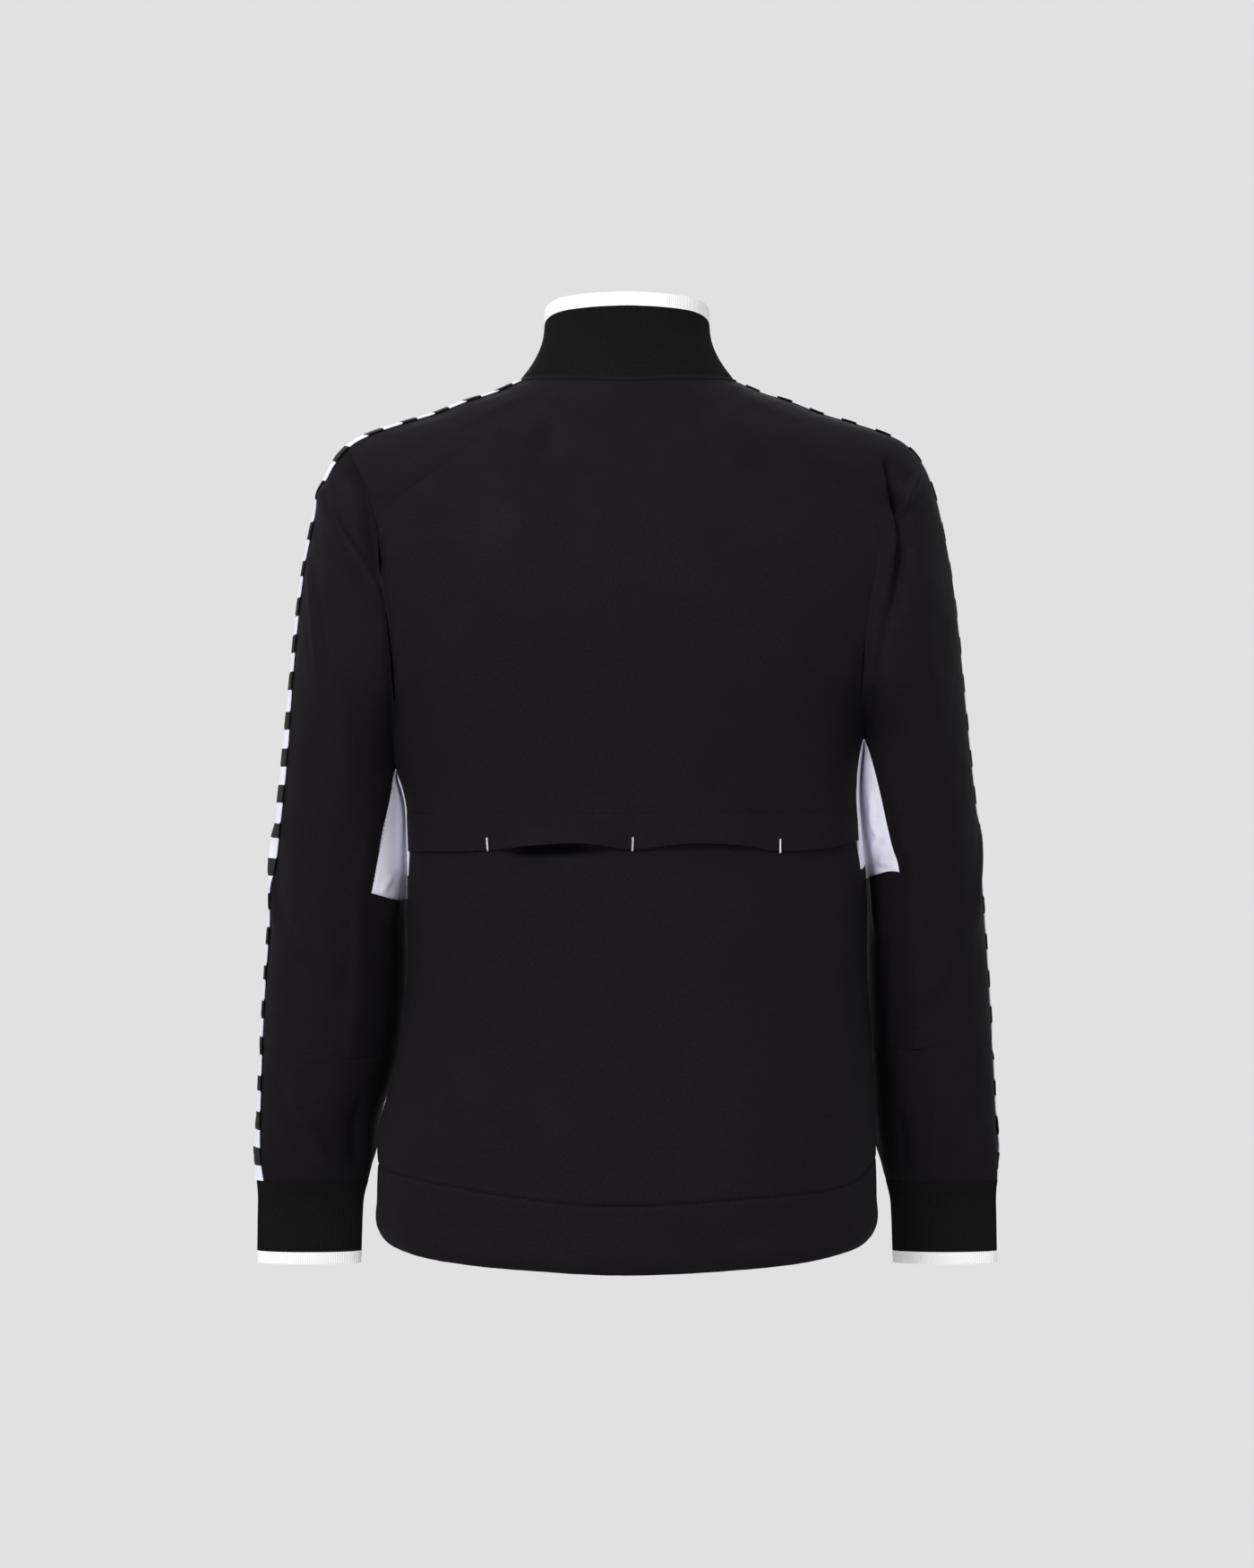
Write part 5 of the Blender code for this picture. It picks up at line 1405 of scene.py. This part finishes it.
class Nodes:
    """A small helper that lays out the nodes of one material."""

    def __init__(self, name):
        self.material = bpy.data.materials.new(name)
        self.material.use_nodes = True
        self.tree = self.material.node_tree
        self.shader = self.tree.nodes["Principled BSDF"]

    def node(self, kind, **settings):
        made = self.tree.nodes.new(kind)
        for key, value in settings.items():
            setattr(made, key, value)
        return made

    def join(self, source, target):
        self.tree.links.new(source, target)

    def math(self, operation, a, b=None):
        made = self.node("ShaderNodeMath", operation=operation)
        for socket, value in zip(made.inputs, (a, b)):
            if value is None:
                continue
            if isinstance(value, (int, float)):
                socket.default_value = value
            else:
                self.join(value, socket)
        return made.outputs[0]

    def grain(self):
        uv = self.node("ShaderNodeUVMap", uv_map="grain")
        split = self.node("ShaderNodeSeparateXYZ")
        self.join(uv.outputs[0], split.inputs[0])
        return uv.outputs[0], split.outputs[0], split.outputs[1]

    def noise(self, vector, scale, detail=2.0, rough=0.5):
        made = self.node("ShaderNodeTexNoise")
        made.inputs["Scale"].default_value = scale
        made.inputs["Detail"].default_value = detail
        made.inputs["Roughness"].default_value = rough
        self.join(vector, made.inputs["Vector"])
        return made.outputs["Fac"]

    def stretch(self, vector, scale):
        made = self.node("ShaderNodeMapping")
        made.inputs["Scale"].default_value = scale
        self.join(vector, made.inputs["Vector"])
        return made.outputs[0]

    def ramp(self, value, low, high, colour_a, colour_b):
        made = self.node("ShaderNodeValToRGB")
        made.color_ramp.elements[0].position = low
        made.color_ramp.elements[1].position = high
        made.color_ramp.elements[0].color = (*colour_a, 1)
        made.color_ramp.elements[1].color = (*colour_b, 1)
        self.join(value, made.inputs[0])
        return made.outputs[0]

    def spread(self, value, low, high, to_low, to_high):
        made = self.node("ShaderNodeMapRange")
        for socket, number in zip(made.inputs[1:5], (low, high, to_low, to_high)):
            socket.default_value = number
        self.join(value, made.inputs[0])
        return made.outputs[0]

    def bump(self, height, distance, strength=1.0, under=None):
        made = self.node("ShaderNodeBump")
        made.inputs["Strength"].default_value = strength
        made.inputs["Distance"].default_value = distance
        self.join(height, made.inputs["Height"])
        if under is not None:
            self.join(under, made.inputs["Normal"])
        return made.outputs[0]

    def surface(self, normal=None, colour=None, roughness=None):
        sockets = (("Normal", normal), ("Base Color", colour), ("Roughness", roughness))
        for socket, source in sockets:
            if source is not None:
                self.join(source, self.shader.inputs[socket])

    def set(self, **values):
        for key, value in values.items():
            self.shader.inputs[key.replace("_", " ")].default_value = value


def woven(
    name, light, dark, thread=0.55 * MM, rough=(0.62, 0.8), sheen=0.12, specular=0.25, deep=0.05
):
    """Plain weave: threads both ways, uneven threads, and a soft mottling of the whole cloth."""
    n = Nodes(name)
    uv, u, v = n.grain()
    k = 2 * math.pi / thread
    warp = n.math("SINE", n.math("MULTIPLY", u, k))
    weft = n.math("SINE", n.math("MULTIPLY", v, k))
    weave = n.math("MULTIPLY", warp, weft)
    slub = n.noise(n.stretch(uv, (1, 3.5, 1)), 420.0, 3.0, 0.7)
    pick = n.noise(n.stretch(uv, (3.5, 1, 1)), 420.0, 3.0, 0.7)
    grain = n.math("ADD", slub, pick)
    soft = n.noise(uv, 24.0, 3.0, 0.6)
    height = n.math("ADD", n.math("MULTIPLY", weave, 0.35), n.math("MULTIPLY", grain, 1.4))
    low = n.bump(soft, 1.2 * MM, 0.4)
    n.surface(
        normal=n.bump(height, deep * MM, 1.0, low),
        colour=n.ramp(grain, 0.75, 1.25, dark, light),
        roughness=n.spread(soft, 0.3, 0.7, *rough),
    )
    n.set(Sheen_Weight=sheen, Sheen_Roughness=0.5, Specular_IOR_Level=specular)
    return n.material


def ribbed(name, light, dark, wale=1.45 * MM, rough=0.85, sheen=0.1, specular=0.15, deep=0.35):
    """Knit with ribs along the grain, or woven tape with fine ribs. Its colour is darker in the rib
    valleys: painted shade.
    """
    n = Nodes(name)
    uv, u, v = n.grain()
    rib = n.math("SINE", n.math("MULTIPLY", u, 2 * math.pi / wale))
    course = n.math("SINE", n.math("MULTIPLY", v, 2 * math.pi / (0.9 * MM)))
    fuzz = n.noise(n.stretch(uv, (1, 0.6, 1)), 900.0, 3.0, 0.7)
    fine = n.math("ADD", n.math("MULTIPLY", course, 0.18), n.math("MULTIPLY", fuzz, 0.8))
    # the colour is darker in the rib valleys and lighter on the crests: painted shade, on top of the
    # fuzz's uneven tone
    valley_shade_and_fuzz = n.math("ADD", n.math("MULTIPLY", rib, 0.25), fuzz)
    n.surface(
        normal=n.bump(n.math("ADD", rib, fine), deep * MM, 0.8),
        colour=n.ramp(valley_shade_and_fuzz, 0.2, 0.8, dark, light),
    )
    n.set(Roughness=rough, Sheen_Weight=sheen, Sheen_Roughness=0.4, Specular_IOR_Level=specular)
    return n.material


def yarn(name, light, dark, twist=0.5 * MM, specular=0.1):
    """Sewing thread."""
    n = Nodes(name)
    where = n.node("ShaderNodeTexCoord").outputs["Object"]
    fuzz = n.noise(where, 2600.0, 3.0, 0.7)
    ply = n.noise(where, 1 / twist, 1.0)
    n.surface(
        normal=n.bump(n.math("ADD", ply, fuzz), 0.06 * MM, 0.6),
        colour=n.ramp(fuzz, 0.3, 0.7, dark, light),
        roughness=n.spread(ply, 0.3, 0.7, 0.65, 0.85),
    )
    n.set(Specular_IOR_Level=specular)
    return n.material


ENAMEL_DARK = (0.010, 0.010, 0.011)
ENAMEL_LIGHT = (0.018, 0.018, 0.019)


def enamel(name="black enamelled metal", rough=(0.4, 0.55), coat=0.12):
    n = Nodes(name)
    where = n.node("ShaderNodeTexCoord").outputs["Object"]
    n.surface(
        colour=n.ramp(n.noise(where, 2500.0, 4.0), 0.35, 0.75, ENAMEL_DARK, ENAMEL_LIGHT),
        roughness=n.spread(n.noise(where, 900.0, 3.0), 0.3, 0.7, *rough),
    )
    n.set(Metallic=0.0, Coat_Weight=coat, Coat_Roughness=0.18, Specular_IOR_Level=coat)
    return n.material


CLOTH_LOOK = woven(
    "black woven cloth", (0.0072, 0.0061, 0.0076), (0.0028, 0.0022, 0.0030),
    rough=(0.7, 0.85), sheen=0.004, specular=0.05,
)
RIB_LOOK = ribbed(
    "black rib knit", (0.0100, 0.0100, 0.0094), (0.0026, 0.0026, 0.0025),
    wale=1.25 * MM, sheen=0.0, specular=0.03, deep=0.22,
)
TIP_LOOK = ribbed("white rib tip", (0.90, 0.90, 0.895), (0.78, 0.78, 0.775), deep=0.15, sheen=0.1)
GUSSET_LOOK = woven(
    "pale gusset cloth", (0.80, 0.79, 0.90), (0.70, 0.69, 0.80),
    rough=(0.7, 0.85), sheen=0.1, specular=0.2, deep=0.06,
)
PALE_BLOCK = ribbed(
    "pale tape block", (0.76, 0.755, 0.86), (0.70, 0.695, 0.80), wale=1.1 * MM, rough=0.7, deep=0.05
)
DARK_BLOCK = ribbed(
    "dark tape block", (0.027, 0.027, 0.025), (0.014, 0.014, 0.013),
    wale=1.1 * MM, rough=0.75, sheen=0.0, specular=0.05, deep=0.12,
)
ZIP_LOOK = woven(
    "black zip tape", (0.007, 0.007, 0.007), (0.0035, 0.0035, 0.0035),
    thread=0.8 * MM, rough=(0.8, 0.9), sheen=0.0, specular=0.05,
)
# The looks by the slot or the name that a piece is finished with. A second one is for the faces
# that the piece picks out.
MATERIALS = {
    "cloth": (CLOTH_LOOK,),
    "rib": (RIB_LOOK, CLOTH_LOOK),
    "tip": (TIP_LOOK,),
    "mesh": (GUSSET_LOOK,),
    "tape": (PALE_BLOCK, DARK_BLOCK),
    "zip": (ZIP_LOOK,),
    "metal": (enamel(),),
    "thread_black": (yarn("black thread", (0.010, 0.009, 0.010), (0.004, 0.0035, 0.004), specular=0.06),),
    "teeth": (enamel("black zip teeth", (0.6, 0.75), 0.02),),
    "thread_white": (yarn("white thread", (0.88, 0.88, 0.90), (0.70, 0.70, 0.72), specular=0.2),),
}


upper_back()
lower_back()
hem("back", hem_turns_back())
for side_name, side in SIDES.items():
    front(side_name, side)
    hem(f"front_{side_name}", side * hem_turns_front(side))
    for front_half in (False, True):
        upper_sleeve(side_name, side, front_half)
        forearm(side_name, side, front_half)
    gusset(side_name, side)
    block_tape(side_name, side)
    cuff(side_name, side)
collar()
zip_strips()
# Rows of stitches by their name, the pieces they are on and their view, in picture units.
SEWN = (
    (
        "stitches_flap", ["back_upper"], "back",
        [[(457, 907), (560, 908), (700, 907), (840, 906), (957, 905)]],
    ),
    (
        "stitches_forearms", ["forearm_back_left", "forearm_back_right"], "back",
        [
            [(299, 1171), (314, 1178), (339, 1185), (367, 1187), (403, 1187), (424, 1185)],
            [(993, 1171), (1023, 1172), (1048, 1170), (1073, 1166), (1104, 1162)],
        ],
    ),
    (
        "stitches_forearms_front", ["forearm_front_left", "forearm_front_right"], "front",
        [
            [(1086, 1178), (1060, 1184), (1030, 1186), (1000, 1186), (984, 1185)],
            [(312, 1168), (340, 1172), (370, 1172), (400, 1170), (416, 1168)],
        ],
    ),
    (
        "stitches_gusset_left", ["sleeve_back_left"], "back",
        [[(438, 877), (432, 905), (427, 935), (421, 962), (417, 985)]],
    ),
    (
        "stitches_gusset_right", ["gusset_right"], "back",
        [[(963, 838), (972, 862), (978, 882), (982, 905), (990, 935), (996, 962)]],
    ),
    (
        "stitches_zip", ["front_left", "front_right", "hem_front_left", "hem_front_right"], "front",
        [[(687, 455), (686, 800), (686, 1385)], [(713, 455), (714, 800), (714, 1385)]],
    ),
)
SEWN_HOW = {
    "stitches_flap": {"gap": 0.7 * MM, "radius": 0.26 * MM},
    "stitches_gusset_right": {"finish": "thread_white", "slot": "mesh"},
}
BAR_TACKS = (
    ((543.5, 935.5), (544.5, 949.5)),
    ((706.5, 935), (706, 949.5)),
    ((871, 937), (871, 951.5)),
)
for name, nodes, view, lines in SEWN:
    sew(name, nodes, view, lines, **SEWN_HOW.get(name, {}))
for k, (top, bottom) in enumerate(BAR_TACKS):
    bar_tack(f"bar_tack_{k + 1}", ["back_upper", "back_lower"], top, bottom)
zip_teeth("zip_teeth")
for name in ("zip_slider", "zip_pull"):
    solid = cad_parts[name]
    solid.data.materials.clear()
    solid.data.materials.append(*MATERIALS["metal"])


# ---- camera, light and floor ----

camera_data = bpy.data.cameras.new("camera")
camera_data.sensor_fit = "HORIZONTAL"
camera_data.sensor_width = 36.0
camera_data.lens = FOCAL / PICTURE_WIDE * camera_data.sensor_width
camera_data.clip_end = 50
camera = place("camera", camera_data, (0, CAMERA_AWAY, -CAMERA_DOWN))
camera.rotation_euler = (math.radians(90), 0, math.radians(180))
bpy.context.scene.camera = camera


def area_light(name, location, size, power, target=(0, 0, -0.3)):
    """A soft lamp turned towards the garment, its power in watts."""
    data = bpy.data.lights.new(name, "AREA")
    data.shape = "RECTANGLE"
    data.size, data.size_y = size
    data.energy = power
    lamp = place(name, data, location)
    lamp.rotation_euler = (Vector(target) - Vector(location)).to_track_quat("-Z", "Y").to_euler()


area_light("key", (1.3, 2.6, 1.4), (1.0, 1.0), 75)
area_light("fill", (-0.7, 3.3, 0.3), (1.8, 1.8), 10)
area_light("top", (0, 0.3, 2.4), (2.0, 2.0), 20)
area_light("front_fill", (0.25, -3.4, 1.0), (1.6, 1.6), 55)

BACKGROUND = (0.752, 0.752, 0.752)
FLOOR_DOWN = 1.45
FLOOR_RADIUS = 1.6
FLOOR_DARK = (0.535, 0.535, 0.535)
FLOOR_LIGHT = (0.545, 0.545, 0.545)
world = bpy.data.worlds.new("studio")
bpy.context.scene.world = world
world.use_nodes = True
background = world.node_tree.nodes["Background"]
background.inputs[0].default_value = (*BACKGROUND, 1)
background.inputs[1].default_value = 1.0
bpy.context.scene.view_settings.view_transform = "Standard"

floor_mesh = bmesh.new()
bmesh.ops.create_circle(floor_mesh, cap_ends=True, segments=96, radius=FLOOR_RADIUS)
floor_data = bpy.data.meshes.new("floor")
floor_mesh.to_mesh(floor_data)
floor_mesh.free()
floor = place("floor", floor_data, (0, 0, -FLOOR_DOWN))
paint = Nodes("pale floor")
speckle = paint.noise(paint.node("ShaderNodeTexCoord").outputs["Object"], 60.0)
paint.surface(colour=paint.ramp(speckle, 0.3, 0.7, FLOOR_DARK, FLOOR_LIGHT))
paint.set(Roughness=0.8)
floor_data.materials.append(paint.material)
